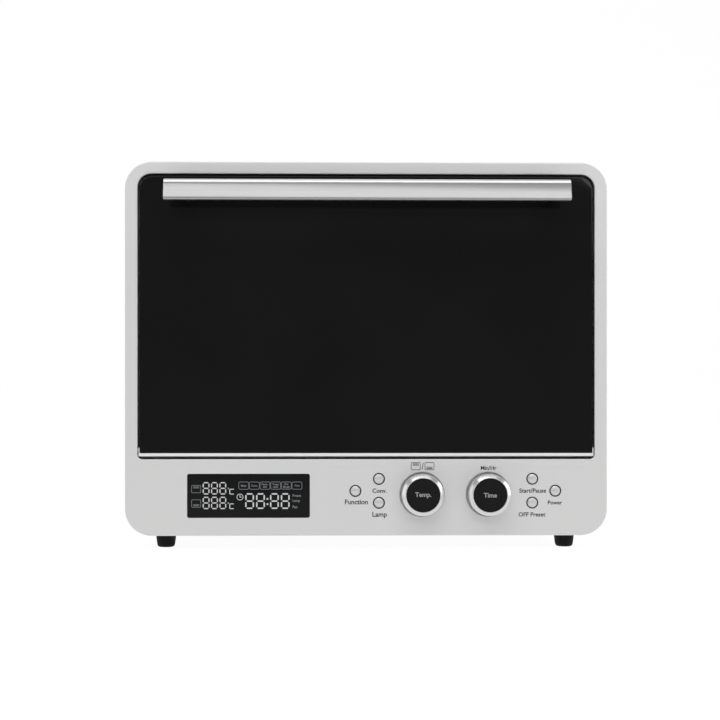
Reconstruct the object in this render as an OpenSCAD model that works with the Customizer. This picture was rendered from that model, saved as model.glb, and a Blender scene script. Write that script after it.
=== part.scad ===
// Countertop toaster oven: painted steel and moulded casing, drop-down glass door,
// digital control panel below the door. Millimetres. +X is the user's right when facing
// the oven, the door faces -Y and +Z is up. The origin is on the ground, below the
// middle of the whole oven.
// Inside the modules Y is the depth behind the fascia's front face; placed() moves
// everything to its place in the oven's own frame.

/* [Casing] */
// Width of the casing
body_w = 483; // [478:1:490]
// Height of the casing without the feet
body_h = 374; // [372:1:380]
// Depth of the casing behind the fascia's front face
body_d = 366; // [364:1:380]
// Radius of the casing's four long corners
corner_r = 27; // [24:1:30]
// Depth of the moulded front fascia
fascia_d = 22; // [22:0.5:23]
// Wall thickness of the moulded fascia
fascia_t = 2; // [1.6:0.2:2]
// Thickness of the casing's steel sheet
sheet_t = 0.8; // [0.8:0.2:1.2]
// Height of the feet
foot_h = 14; // [10:1:18]
// Length of the rubber spacers on the rear cover
spacer_h = 12; // [8:1:16]

/* [Door] */
// Width of the door
door_w = 454; // [452:1:455]
// Gap between the door and the fascia
door_gap = 2; // [1.5:0.5:2]
// Height of the control panel below the door opening
panel_h = 76.5; // [76:0.5:78]
// Radius of the door's two upper corners
door_r = 12; // [8:1:14]
// Thickness of the outer glass
glass_t = 4; // [3:0.5:4]
// Length of the handle bar
handle_w = 399.4; // [380:0.1:410]
// Height of the handle bar
handle_h = 20.7; // [18:0.1:24]
// How far the handle bar reaches in front of the fascia
handle_reach = 34; // [32:1:50]

/* [Cavity] */
// Width inside the cavity
cavity_w = 400; // [396:1:400]
// Height of the rack's ledge above the cavity floor
rack_level = 100; // [90:1:110]
// Height of the baking tray's ledge above the cavity floor
tray_level = 50; // [46:1:54]

/* [Controls] */
// Radius of the two knobs
knob_r = 20.9; // [20:0.1:21.4]
// How far the knobs stand out of the fascia
knob_h = 18; // [14:1:22]
// Radius of the push buttons' caps
button_r = 4.85; // [4:0.05:4.85]
// Width of the display window
window_w = 122.3; // [110:0.1:124]
// Height of the display window
window_h = 43.8; // [36:0.1:46]

/* [Hidden] */
$fn = 64;

over = 1;
snug = 0.02;
total_d = handle_reach + body_d + spacer_h;
front_y = handle_reach - total_d / 2;
body_z0 = foot_h;
body_z1 = foot_h + body_h;

// Door opening in the fascia, and the door in it
opening_w = door_w + 2 * door_gap;
opening_z0 = body_z0 + panel_h;
opening_z1 = body_z1 - 11.9;
opening_r = door_r + door_gap;
door_z0 = opening_z0 + door_gap;
door_z1 = opening_z1 - door_gap;
lip_t = 2;
lip_d = 3;

// Door layers, as depths behind the fascia's front face
glass_y0 = 1;
glass_y1 = glass_y0 + glass_t;
frame_y0 = 14;
frame_y1 = frame_y0 + sheet_t;
inner_glass_t = 3;
trim_r = 6.6;
trim_return_t = 0.9;
trim_return_h = 6;
trim_toe_z = 1.5;
trim_z1 = 112;
trim_web_t = 2.5;
hinge_y = glass_y0 + trim_r;
hinge_z = door_z0 + trim_r;
glass_z0 = door_z0 + 4;
door_frame_z0 = hinge_z + trim_r + 1;
window_x = 180;
window_z0 = 134;
window_z1 = 342;

// Handle
handle_z = door_z1 - 18.3;
handle_t = 10;
handle_front_t = 6;
handle_bulge = 2.5;
handle_back_inset = 0.5;
post_x = 180;
post_r = 6;

// Hinge hardware beside the door
pin_r = 2.5;
pin_clearance = 0.05;
pin_x0 = 213;
bracket_x0 = opening_w / 2 + 1;
bracket_t = 2.5;
bracket_z0 = opening_z0 - 6;
bracket_z1 = opening_z0 + 25;
lever_x0 = 217;
lever_t = 2;
lever_screw_x = 214;
lever_screw_zs = [120, 142];
lever_hole_y = hinge_y + 25;
lever_hole_z = hinge_z + 5;
spring_r = 3.2;
spring_wire_r = 0.8;
spring_pitch = 2;
spring_foot_z = body_z0 + 26;

// Cavity
frame_t = 1.2;
cavity_y0 = fascia_d + frame_t;
cavity_y1 = 322;
cavity_z0 = opening_z0 + 18;
cavity_z1 = opening_z1 - 13.4;
cavity_x = cavity_w / 2;
ledge_w = 6;
ledge_t = 3;
ledge_levels = [tray_level, rack_level, 150];
tray_gap = 0.3;

// Heaters: depth and height of each tube
upper_heater_z = cavity_z1 - 18;
lower_heater_z = cavity_z0 + 16;
heater_depths = [95, 225];
heater_r = 3.5;
bush_r = 5;

// Fan, its motor and its cover
fan_z = 235;
fan_cover_y = 298;
fan_cover_w = 190;
shaft_r = 2.5;
stator_y0 = 339;
stator_y1 = 355;
rotor_r = 11;

// Lamp in the right-hand cavity wall
lamp_y = 120;
lamp_z = 318;

// Display window and controls: X and Z on the fascia
window_cx = -118.1;
window_cz = 54;
window_clear = 0.15;
knob_xs = [55.4, 121.9];
knob_z = 55.4;
knob_cap_r = 16.8;
well_r = 22;
well_rim_r = 23.2;
well_d = 3.2;
function_at = [-11.3, 58.8];
convection_at = [12.3, 70.8];
lamp_at = [12.3, 46.9];
start_pause_at = [166.1, 70.8];
preset_at = [166.1, 46.9];
power_at = [189.2, 58.8];
buttons = [function_at, convection_at, lamp_at, start_pause_at, preset_at, power_at];
button_hole_r = 6;
button_bore_r = button_r + 0.3;
guide_y0 = fascia_t;
guide_y1 = guide_y0 + 1.2;
board_y0 = 13;
board_y1 = 14.6;
shaft_end = 10.2;

// Louvres, feet, spacers and screws
louvre_y0 = 190;
louvre_pitch = 11;
louvre_w = 4.5;
louvre_h = 28;
foot_x = 203.8;
foot_ys = [34, 336];
foot_r0 = 8.75;
foot_r1 = 10.25;
foot_screw_r = 3;
spacer_x = 170;
spacer_zs = [90, 330];
gland_x = 180;
gland_z = 48;
boss_x = body_w / 2 - 8;
boss_zs = [150, 240, 330];
boss_r = 3.5;
rear_screw_x = 222;
rear_screw_zs = [70, 210, 340];
screw_r = 1.5;

silver_paint = [0.82, 0.82, 0.82];
steel = [0.62, 0.63, 0.65];
zinc = [0.7, 0.7, 0.68];
black_plastic = [0.06, 0.06, 0.06];
black_glass = [0.05, 0.05, 0.05];
aluminium = [0.78, 0.78, 0.79];
rubber_black = [0.04, 0.04, 0.04];
ceramic_white = [0.9, 0.88, 0.84];
board_green = [0.05, 0.3, 0.15];
copper = [0.72, 0.4, 0.2];

// ---- helpers ----

module placed() {
    translate([0, front_y, 0]) children();
}

// A box between two corners, each given as its X, Y and Z.
module box(a, b) {
    translate(a) cube(b - a);
}

module both_sides() {
    children();
    mirror([1, 0, 0]) children();
}

// Extrudes an outline drawn in X and Z from depth y0 to depth y1.
module slab(y0, y1) {
    translate([0, y1, 0]) rotate([90, 0, 0]) linear_extrude(y1 - y0) children();
}

// Extrudes an outline drawn in Y and Z from x0 to x1.
module along_x(x0, x1) {
    translate([x0, 0, 0]) rotate([90, 0, 90]) linear_extrude(x1 - x0) children();
}

module rod_x(x0, x1, y, z, r) {
    translate([x0, y, z]) rotate([0, 90, 0]) cylinder(h = x1 - x0, r = r);
}

module rod_y(x, z, y0, y1, r) {
    translate([x, y0, z]) rotate([-90, 0, 0]) cylinder(h = y1 - y0, r = r);
}

module rod_z(x, y, z0, z1, r) {
    translate([x, y, z0]) cylinder(h = z1 - z0, r = r);
}

// A solid turned about a line along Y, from an outline of radius against depth.
module turned(x, z) {
    translate([x, 0, z]) rotate([-90, 0, 0]) rotate_extrude() children();
}

// A rectangle in X and Z, symmetric about X = 0, with lower and upper corner radii.
module outline(half_w, z0, z1, r0, r1) {
    difference() {
        translate([-half_w, z0]) square([2 * half_w, z1 - z0]);
        for (s = [-1, 1]) {
            translate([s * (half_w - r0 / 2), z0 + r0 / 2]) square(r0, center = true);
            translate([s * (half_w - r1 / 2), z1 - r1 / 2]) square(r1, center = true);
        }
    }
    for (s = [-1, 1]) {
        translate([s * (half_w - r0), z0 + r0]) circle(r0);
        translate([s * (half_w - r1), z1 - r1]) circle(r1);
    }
}

module casing_outline(inset) {
    outline(body_w / 2 - inset, body_z0 + inset, body_z1 - inset, corner_r - inset, corner_r - inset);
}

module opening_outline(grow) {
    outline(opening_w / 2 + grow, opening_z0 - grow, opening_z1 + grow, 5 + grow, opening_r + grow);
}

module door_outline(inset, z0) {
    outline(door_w / 2 - inset, z0, door_z1 - inset, 1, door_r - inset);
}

// ---- casing ----

module front_fascia() {
    color(silver_paint) placed() difference() {
        union() {
            difference() {
                slab(0, fascia_d) casing_outline(0);
                slab(fascia_t, fascia_d + over) casing_outline(fascia_t);
            }
            slab(0, lip_d) opening_outline(lip_t);
            for (x = knob_xs) rod_y(x, knob_z, 0, well_d + fascia_t, well_r + fascia_t + 1);
            both_sides() for (z = boss_zs) rod_y(boss_x, z, fascia_t, fascia_d, boss_r);
        }
        slab(-over, fascia_d + over) opening_outline(0);
        window_cut(window_clear);
        for (b = buttons) rod_y(b[0], b[1], -over, fascia_d, button_hole_r);
        for (x = knob_xs) {
            rod_y(x, knob_z, -over, well_d, well_r);
            turned(x, knob_z) polygon([[0, -0.1], [well_rim_r, -0.1], [well_r, 1.1], [0, 1.1]]);
            rod_y(x, knob_z, 0, fascia_d, 4.7);
        }
        both_sides() for (z = boss_zs) rod_y(boss_x, z, 10, fascia_d + over, screw_r + snug);
    }
}

module window_cut(clear) {
    translate([window_cx, 0, 0]) slab(-over, fascia_d)
        outline(window_w / 2 + clear, window_cz - window_h / 2 - clear,
                window_cz + window_h / 2 + clear, 2, 2);
}

module outer_cover() {
    flange_x = 190;
    rear_y = body_d - sheet_t;
    color(silver_paint) placed() difference() {
        union() {
            difference() {
                slab(fascia_d, rear_y) casing_outline(0);
                slab(fascia_d - over, rear_y + over) casing_outline(sheet_t);
            }
            // tabs that the rear cover screws onto
            both_sides() for (z = rear_screw_zs)
                box([rear_screw_x - 7, rear_y - sheet_t, z - 8], [body_w / 2 - sheet_t / 2, rear_y, z + 8]);
        }
        box([-flange_x, fascia_d - over, body_z0 - over], [flange_x, body_d, body_z0 + 2 * sheet_t]);
        rear_screw_holes();
        // louvres low and high on both sides, for the air round the electronics
        for (i = [0 : 11]) for (z = [body_z0 + 34, body_z1 - 74])
            box([-body_w, louvre_y0 + louvre_pitch * i, z],
                [body_w, louvre_y0 + louvre_pitch * i + louvre_w, z + louvre_h]);
    }
}

module rear_cover() {
    y0 = body_d - sheet_t - over;
    y1 = body_d + over;
    color(steel) placed() difference() {
        slab(body_d - sheet_t, body_d) casing_outline(0);
        // two columns of vent slots over the motor
        for (row = [0 : 9]) for (s = [-1, 1])
            box([s * 40 - 30, y0, 190 + 10 * row], [s * 40 + 30, y1, 194 + 10 * row]);
        // a row of slots behind the electronics
        for (i = [0 : 11]) box([-130 + 20 * i, y0, 44], [-118 + 20 * i, y1, 48]);
        rod_y(gland_x, gland_z, y0, y1, 8);
        rear_screw_holes();
    }
}

module rear_screw_holes() {
    both_sides() for (z = rear_screw_zs)
        rod_y(rear_screw_x, z, body_d - 12, body_d + over, screw_r + snug);
}

module base_plate() {
    z0 = body_z0 + sheet_t;
    z1 = z0 + sheet_t;
    color(steel) placed() difference() {
        union() {
            box([-214, fascia_d + 1, z0], [214, body_d - sheet_t, z1]);
            // brackets that hold the lower ends of the hinge springs
            both_sides() {
                box([lever_x0 - 10, lever_hole_y - 4, z1], [lever_x0, lever_hole_y + 4, z1 + sheet_t]);
                box([lever_x0, lever_hole_y - 4, z1], [lever_x0 + lever_t, lever_hole_y + 4, spring_foot_z + 4]);
            }
        }
        for (i = [0 : 13]) for (y = [90, 250])
            box([-140 + 20 * i, y, z0 - over], [-132 + 20 * i, y + 50, z1 + over]);
        both_sides() rod_x(lever_x0 - over, lever_x0 + lever_t + over, lever_hole_y, spring_foot_z, 1.6);
    }
}

module front_frame() {
    frame_z0 = opening_z0 - 6;
    color(zinc) placed() difference() {
        slab(fascia_d, cavity_y0) outline(body_w / 2 - 2.5, frame_z0, body_z1 - 2.8, 3, corner_r - 3);
        slab(fascia_d - over, cavity_y0 + over) outline(cavity_x, cavity_z0, cavity_z1, 2, 2);
        // slots that the hinge levers swing through
        both_sides() box([lever_x0 - 2.5, fascia_d - over, hinge_z - 5.5],
                         [lever_x0 + lever_t + 2.5, cavity_y0 + over, hinge_z + 36]);
        both_sides() for (z = boss_zs) rod_y(boss_x, z, fascia_d - over, cavity_y0 + over, 1.6);
    }
}

module feet() {
    edge_r = 2.5;
    color(rubber_black) placed() both_sides() for (y = foot_ys) translate([foot_x, y, 0]) rotate_extrude() {
        polygon([[0, 0], [foot_r0 - edge_r, 0], [foot_r0, edge_r], [foot_r1, foot_h], [0, foot_h]]);
        translate([foot_r0 - edge_r, edge_r]) circle(edge_r);
    }
}

module rear_spacers() {
    color(rubber_black) placed() both_sides() for (z = spacer_zs)
        turned(spacer_x, z) polygon([[0, body_d], [10, body_d], [8, body_d + spacer_h - 1.5],
                                     [6.5, body_d + spacer_h], [0, body_d + spacer_h]]);
}

module cord_gland() {
    color(black_plastic) placed() difference() {
        turned(gland_x, gland_z) polygon([[0, body_d - 5], [9.5, body_d - 5], [9.5, body_d - sheet_t],
                                          [7.9, body_d - sheet_t], [7.9, body_d], [10, body_d],
                                          [9, body_d + 7], [0, body_d + 7]]);
        rod_y(gland_x, gland_z, body_d - 6, body_d + 8, 3.7);
    }
}

module casing_screws() {
    color(steel) placed() {
        // front frame to fascia
        both_sides() for (z = boss_zs) screw_y(boss_x, z, cavity_y0, 11);
        // rear cover to the outer cover's tabs
        both_sides() for (z = rear_screw_zs) screw_y(rear_screw_x, z, body_d, 8);
        // feet to the cover's flanges
        both_sides() for (y = foot_ys) rod_z(foot_x, y, body_z0 + 2 * sheet_t, body_z0 + 2 * sheet_t + 2, foot_screw_r);
    }
}

// A screw along Y: its head stands behind depth y and its shank runs forward.
module screw_y(x, z, y, length) {
    rod_y(x, z, y, y + 1.8, 2 * screw_r);
    rod_y(x, z, y - length, y + 0.1, screw_r);
}

// ---- cavity ----

module cavity_panel(z) {
    box([-cavity_x - sheet_t, cavity_y0, z], [cavity_x + sheet_t, cavity_y1, z + sheet_t]);
}

module cavity_top() {
    color(zinc) placed() cavity_panel(cavity_z1);
}

module cavity_bottom() {
    color(zinc) placed() cavity_panel(cavity_z0 - sheet_t);
}

module cavity_side() {
    difference() {
        union() {
            box([cavity_x, cavity_y0, cavity_z0], [cavity_x + sheet_t, cavity_y1, cavity_z1]);
            for (level = ledge_levels)
                box([cavity_x - ledge_w, 34, cavity_z0 + level - ledge_t],
                    [cavity_x, fan_cover_y - 4, cavity_z0 + level]);
        }
        for (y = heater_depths) for (z = [upper_heater_z, lower_heater_z])
            rod_x(cavity_x - over, cavity_x + sheet_t + over, y, z, bush_r + snug);
    }
}

module cavity_side_left() {
    color(zinc) placed() difference() {
        mirror([1, 0, 0]) cavity_side();
        rod_x(-cavity_x - sheet_t - over, -cavity_x + over, 180, cavity_z1 - 40, 2.52);
    }
}

module cavity_side_right() {
    color(zinc) placed() difference() {
        cavity_side();
        rod_x(cavity_x - over, cavity_x + sheet_t + over, lamp_y, lamp_z, 20);
    }
}

module cavity_back() {
    color(zinc) placed() difference() {
        box([-cavity_x - sheet_t, cavity_y1, cavity_z0 - sheet_t],
            [cavity_x + sheet_t, cavity_y1 + sheet_t, cavity_z1 + sheet_t]);
        rod_y(0, fan_z, cavity_y1 - over, cavity_y1 + sheet_t + over, 6);
    }
}

module fan_cover() {
    w = fan_cover_w / 2;
    color(zinc) placed() difference() {
        slab(fan_cover_y, cavity_y1) square_at(w);
        slab(fan_cover_y + sheet_t, cavity_y1 + over) square_at(w - sheet_t);
        // intake slots in front of the impeller, and outlets along the four edges
        for (i = [-4 : 4])
            box([-34, fan_cover_y - over, fan_z + 8 * i - 2], [34, fan_cover_y + sheet_t + over, fan_z + 8 * i + 2]);
        for (i = [-5 : 5]) for (s = [-1, 1]) {
            box([14 * i - 4, fan_cover_y - over, fan_z + s * (w - 10) - 3],
                [14 * i + 4, fan_cover_y + sheet_t + over, fan_z + s * (w - 10) + 3]);
            box([s * (w - 10) - 3, fan_cover_y - over, fan_z + 14 * i - 4],
                [s * (w - 10) + 3, fan_cover_y + sheet_t + over, fan_z + 14 * i + 4]);
        }
    }
}

module square_at(half) {
    translate([-half, fan_z - half]) square(2 * half);
}

module door_seal() {
    seal_w = 4;
    color([0.25, 0.25, 0.26]) placed() difference() {
        slab(frame_y1 + 0.4, fascia_d) outline(cavity_x + 10, cavity_z0 - 6, cavity_z1 + 6, 6, 6);
        slab(frame_y1, fascia_d + over)
            outline(cavity_x + 10 - seal_w, cavity_z0 - 6 + seal_w, cavity_z1 + 6 - seal_w, 3, 3);
    }
}

module heater_pair(z) {
    for (y = heater_depths) {
        rod_x(-cavity_x - 6, cavity_x + 6, y, z, heater_r);
        both_sides() rod_x(cavity_x + 6, cavity_x + 16, y, z, 1.5);
    }
}

module upper_heaters() {
    color([0.35, 0.33, 0.32]) placed() heater_pair(upper_heater_z);
}

module lower_heaters() {
    color([0.35, 0.33, 0.32]) placed() heater_pair(lower_heater_z);
}

module heater_insulators() {
    color(ceramic_white) placed() both_sides()
        for (y = heater_depths) for (z = [upper_heater_z, lower_heater_z]) difference() {
            union() {
                rod_x(cavity_x - 2, cavity_x + sheet_t, y, z, bush_r);
                rod_x(cavity_x + sheet_t, cavity_x + 5, y, z, 8);
            }
            rod_x(cavity_x - 3, cavity_x + 6, y, z, heater_r + snug);
        }
}

module lamp_holder() {
    x0 = cavity_x + sheet_t;
    color(zinc) placed() {
        difference() {
            rod_x(x0, x0 + 34, lamp_y, lamp_z, 25);
            rod_x(x0 - over, x0 + 32, lamp_y, lamp_z, 23.5);
        }
        rod_x(x0 + 22, x0 + 32.5, lamp_y, lamp_z, 8);
    }
}

module lamp_bulb() {
    x0 = cavity_x + 4;
    color([0.95, 0.93, 0.85]) placed() {
        rod_x(x0 + 6, x0 + sheet_t + 18, lamp_y, lamp_z, 6);
        translate([x0 + 6, lamp_y, lamp_z]) sphere(6);
    }
}

module lamp_glass() {
    color([0.85, 0.88, 0.9]) placed() {
        rod_x(cavity_x - 2.5, cavity_x, lamp_y, lamp_z, 24);
        rod_x(cavity_x - 0.5, cavity_x + sheet_t, lamp_y, lamp_z, 19.9);
    }
}

module temperature_sensors() {
    color(steel) placed() {
        // probe through the left wall, with its nut outside
        rod_x(-cavity_x - 14, -cavity_x + 30, 180, cavity_z1 - 40, 2.5);
        rod_x(-cavity_x - 7, -cavity_x - sheet_t, 180, cavity_z1 - 40, 5.5);
        // thermal cut-out on top of the cavity
        rod_z(60, 170, cavity_z1 + sheet_t, cavity_z1 + 11, 8);
    }
}

module crumb_tray() {
    x = cavity_x - 8;
    y0 = cavity_y0 + 2;
    y1 = cavity_y1 - 2;
    t = 1;
    color(zinc) placed() difference() {
        box([-x, y0, cavity_z0], [x, y1, cavity_z0 + 8]);
        box([-x + t, y0 + t, cavity_z0 + t], [x - t, y1 - t, cavity_z0 + 8 + over]);
    }
}

// ---- fan and motor ----

module motor_stator() {
    color([0.4, 0.42, 0.45]) placed() {
        difference() {
            box([-30, stator_y0, fan_z - 42], [30, stator_y1, fan_z + 24]);
            rod_y(0, fan_z, stator_y0 - over, stator_y1 + over, rotor_r + 0.5);
            box([-17, stator_y0 - over, fan_z - 33], [17, stator_y1 + over, fan_z - 19]);
        }
        bearing_bridge(stator_y0 - 3, stator_y0);
        bearing_bridge(stator_y1, stator_y1 + 3);
        // posts that carry the motor on the cavity's back panel
        both_sides() for (z = [fan_z - 38, fan_z + 20])
            rod_y(25, z, cavity_y1 + sheet_t, stator_y0 - 3, 2.5);
    }
}

// A strap across the stator that carries one bearing.
module bearing_bridge(y0, y1) {
    difference() {
        union() {
            box([-30, y0, fan_z - 6], [30, y1, fan_z + 6]);
            both_sides() box([20, y0, fan_z - 42], [30, y1, fan_z + 24]);
        }
        rod_y(0, fan_z, y0 - over, y1 + over, shaft_r + 0.05);
    }
}

module motor_coil() {
    color(copper) placed() {
        // the winding round the lower leg of the stator, in two halves
        box([-15, stator_y0 - 2.5, fan_z - 52], [15, stator_y1 + 2.5, fan_z - 42]);
        box([-15, stator_y0, fan_z - 33], [15, stator_y1, fan_z - 21]);
    }
}

module motor_rotor() {
    color(steel) placed() {
        rod_y(0, fan_z, stator_y0 + 0.5, stator_y1 - 0.5, rotor_r);
        rod_y(0, fan_z, fan_cover_y + 5, stator_y1 + 5, shaft_r);
    }
}

// A plate fan: a hub, a disc and blades that stand up from it.
module fan_wheel(y0, y1, r0, r1, blades) {
    color(aluminium) placed() difference() {
        union() {
            rod_y(0, fan_z, y0, y1, 8);
            rod_y(0, fan_z, y1 - 1, y1, r1);
            for (i = [0 : blades - 1])
                translate([0, 0, fan_z]) rotate([0, 360 / blades * i, 0])
                    box([r0, y0, -0.6], [r1 - 1, y1 - 0.5, 0.6]);
        }
        rod_y(0, fan_z, y0 - over, y1 + over, shaft_r + 0.01);
    }
}

module impeller() {
    fan_wheel(303, 317, 20, 70, 12);
}

module cooling_fan() {
    fan_wheel(326, 334, 16, 19.5, 8);
}

// ---- control panel and electronics ----

module display_window() {
    color(black_glass) placed() {
        translate([window_cx, 0, 0]) slab(0.3, fascia_t)
            outline(window_w / 2, window_cz - window_h / 2, window_cz + window_h / 2, 2, 2);
        translate([window_cx, 0, 0]) slab(fascia_t, fascia_t + 1.2)
            outline(window_w / 2 + 4, window_cz - window_h / 2 - 4, window_cz + window_h / 2 + 4, 3, 3);
    }
}

module display_module() {
    color([0.1, 0.12, 0.12]) placed() {
        box([window_cx - 56, fascia_t + 1.2, window_cz - 19], [window_cx + 56, 11, window_cz + 19]);
        box([window_cx - 60, 11, window_cz - 23], [window_cx + 60, 12.6, window_cz + 23]);
        for (i = [0 : 9]) rod_y(window_cx - 45 + 10 * i, window_cz - 20.5, 12.6, 15, 0.6);
    }
}

module button_guides() {
    color(black_plastic) placed() {
        guide(-19, 23, [function_at, convection_at, lamp_at]);
        guide(157, 199, [start_pause_at, preset_at, power_at]);
    }
}

// One guide plate behind the fascia with a bush for each of its buttons.
module guide(x0, x1, spots) {
    difference() {
        union() {
            box([x0, guide_y0, 36], [x1, guide_y1, 80]);
            for (s = spots) rod_y(s[0], s[1], 0.3, guide_y1, button_hole_r - 0.05);
            for (x = [x0 + 2.5, x1 - 2.5]) for (z = [38.5, 77.5]) rod_y(x, z, guide_y1, board_y0, 2);
        }
        for (s = spots) rod_y(s[0], s[1], -over, guide_y1 + over, button_bore_r);
    }
}

module control_board() {
    color(board_green) placed() {
        box([-26, board_y0, 30], [205, board_y1, 84]);
        // tact switches under the six buttons
        for (b = buttons) {
            box([b[0] - 3, board_y0 - 2.2, b[1] - 3], [b[0] + 3, board_y0, b[1] + 3]);
            rod_y(b[0], b[1], board_y0 - 3.5, board_y0 - 2.2, 1.7);
        }
        box([80, board_y1, 40], [100, board_y1 + 3, 60]);
        box([20, board_y1, 34], [60, board_y1 + 8, 42]);
        for (x = [120, 134, 148]) rod_y(x, 72, board_y1, board_y1 + 12, 4);
    }
}

module power_board() {
    z0 = body_z0 + 14;
    z1 = z0 + 1.6;
    color(board_green) placed() {
        box([-150, 120, z0], [60, 240, z1]);
        for (x = [-144, 54]) for (y = [126, 234]) rod_z(x, y, body_z0 + 2 * sheet_t, z0, 3);
        // transformer, relays and capacitors
        box([-140, 140, z1], [-100, 175, z1 + 34]);
        for (i = [0 : 3]) box([-80 + 26 * i, 135, z1], [-61 + 26 * i, 150, z1 + 16]);
        for (i = [0 : 3]) rod_z(-80 + 24 * i, 200, z1, z1 + 22, 6);
    }
}

module encoder_bodies() {
    color([0.3, 0.32, 0.34]) placed() for (x = knob_xs) difference() {
        union() {
            rod_y(x, knob_z, well_d + 0.4, 7, 4.6);
            box([x - 7, 7, knob_z - 7], [x + 7, board_y0, knob_z + 7]);
        }
        rod_y(x, knob_z, 0, shaft_end, 3.05);
        rod_y(x, knob_z, shaft_end - 0.2, board_y0 - 0.4, 3.8);
    }
}

module plunger(x) {
    color(black_plastic) placed() rod_y(x, knob_z, shaft_end + 0.05, shaft_end + 1.4, 3.4);
}

module temp_plunger() {
    plunger(knob_xs[0]);
}

module time_plunger() {
    plunger(knob_xs[1]);
}

// A turned aluminium knob with its bevelled rim, cap seat, hub and shaft.
module knob(x) {
    bevel = 3.4;
    seat_r = knob_cap_r + snug;
    color(aluminium) placed() turned(x, knob_z) polygon([
        [0, 3.5 - knob_h], [seat_r, 3.5 - knob_h], [seat_r, -knob_h], [knob_r - bevel, -knob_h],
        [knob_r, 3 - knob_h], [knob_r, 2], [knob_r - 2, 2], [knob_r - 2, 5.5 - knob_h],
        [5.5, 5.5 - knob_h], [5.5, 2], [3, 2], [3, shaft_end], [0, shaft_end]]);
}

module temp_knob() {
    knob(knob_xs[0]);
}

module time_knob() {
    knob(knob_xs[1]);
}

module knob_cap(x) {
    color(black_plastic) placed() rod_y(x, knob_z, 0.4 - knob_h, 3.5 - knob_h, knob_cap_r);
}

module temp_cap() {
    knob_cap(knob_xs[0]);
}

module time_cap() {
    knob_cap(knob_xs[1]);
}

module button(at) {
    color(aluminium) placed() {
        rod_y(at[0], at[1], -1.2, guide_y1 + 0.1, button_r);
        rod_y(at[0], at[1], guide_y1 + 0.1, guide_y1 + 1.1, 6);
        rod_y(at[0], at[1], guide_y1 + 1.1, 8.4, 2);
    }
}

module button_function() {
    button(function_at);
}

module button_convection() {
    button(convection_at);
}

module button_lamp() {
    button(lamp_at);
}

module button_start_pause() {
    button(start_pause_at);
}

module button_preset() {
    button(preset_at);
}

module button_power() {
    button(power_at);
}

// ---- door ----

module outer_glass() {
    color(black_glass) placed() difference() {
        slab(glass_y0, glass_y1) door_outline(0, glass_z0);
        both_sides() rod_y(post_x, handle_z, 0, glass_y1 + over, 2);
    }
}

module inner_glass() {
    color([0.2, 0.22, 0.24]) placed()
        slab(frame_y0 - inner_glass_t, frame_y0) outline(window_x + 8, window_z0 - 8, window_z1 + 8, 3, 3);
}

module door_frame() {
    color([0.15, 0.15, 0.15]) placed() difference() {
        slab(glass_y1, frame_y1) door_outline(2, door_frame_z0);
        slab(glass_y1 - over, frame_y0) door_outline(2 + sheet_t, door_frame_z0 + sheet_t);
        slab(frame_y0 - over, frame_y1 + over) outline(window_x, window_z0, window_z1, 4, 4);
        // room for the trim's web along the lower edge
        box([-223, 0, door_frame_z0 - over], [223, glass_y1 + trim_web_t + 0.1, door_frame_z0 + sheet_t + over]);
        both_sides() for (z = lever_screw_zs)
            rod_y(lever_screw_x, z, frame_y0 - over, frame_y1 + over, screw_r + snug);
    }
}

module door_trim() {
    rail_x = door_w / 2 + trim_return_t;
    color(aluminium) placed() difference() {
        union() {
            difference() {
                union() {
                    rod_x(-rail_x, rail_x, hinge_y, hinge_z, trim_r);
                    box([-222, glass_y1, hinge_z], [222, glass_y1 + trim_web_t, trim_z1]);
                }
                box([-door_w / 2, 0, glass_z0], [door_w / 2, glass_y1, trim_z1 + over]);
            }
            // the squarer lower front corner, and the ends turned up beside the glass
            box([-rail_x, glass_y0, door_z0 + trim_toe_z], [rail_x, hinge_y, glass_z0]);
            both_sides() box([door_w / 2, glass_y0, hinge_z],
                             [rail_x, hinge_y + trim_r, glass_z0 + trim_return_h]);
        }
        both_sides() rod_x(pin_x0 - 0.5, rail_x + over, hinge_y, hinge_z, pin_r + pin_clearance);
    }
}

module handle_bar() {
    r = (handle_h * handle_h / 4 + handle_bulge * handle_bulge) / (2 * handle_bulge);
    color(aluminium) placed() along_x(-handle_w / 2, handle_w / 2) intersection() {
        translate([-handle_reach, handle_z - handle_h / 2]) square([handle_front_t, handle_h]);
        translate([r - handle_reach, handle_z]) circle(r, $fn = 128);
    }
}

module handle_back() {
    x = handle_w / 2 - handle_back_inset;
    z = handle_h / 2 - handle_back_inset;
    color(black_plastic) placed()
        box([-x, handle_front_t - handle_reach, handle_z - z], [x, handle_t - handle_reach, handle_z + z]);
}

module handle_posts() {
    color(black_plastic) placed() both_sides() difference() {
        rod_y(post_x, handle_z, handle_t - handle_reach, glass_y0, post_r);
        rod_y(post_x, handle_z, glass_y0 - 12, glass_y0 + over, screw_r + snug);
    }
}

module door_screws() {
    color(steel) placed() both_sides() {
        screw_y(post_x, handle_z, glass_y1, 15);
        for (z = lever_screw_zs) screw_y(lever_screw_x, z, frame_y1 + lever_t, 4);
    }
}

module hinge_levers() {
    color(zinc) placed() both_sides() difference() {
        union() {
            box([211, frame_y1, 112], [lever_x0 + lever_t, frame_y1 + lever_t, 150]);
            along_x(lever_x0, lever_x0 + lever_t) {
                translate([frame_y1, 110]) square([12, 16]);
                polygon([[frame_y1, 110], [frame_y1, 126], [lever_hole_y, lever_hole_z + 4],
                         [lever_hole_y, lever_hole_z - 4]]);
                translate([lever_hole_y, lever_hole_z]) circle(4);
            }
        }
        rod_x(lever_x0 - over, lever_x0 + lever_t + over, lever_hole_y, lever_hole_z, 1.6);
        for (z = lever_screw_zs)
            rod_y(lever_screw_x, z, frame_y1 - over, frame_y1 + lever_t + over, screw_r + snug);
    }
}

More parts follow.
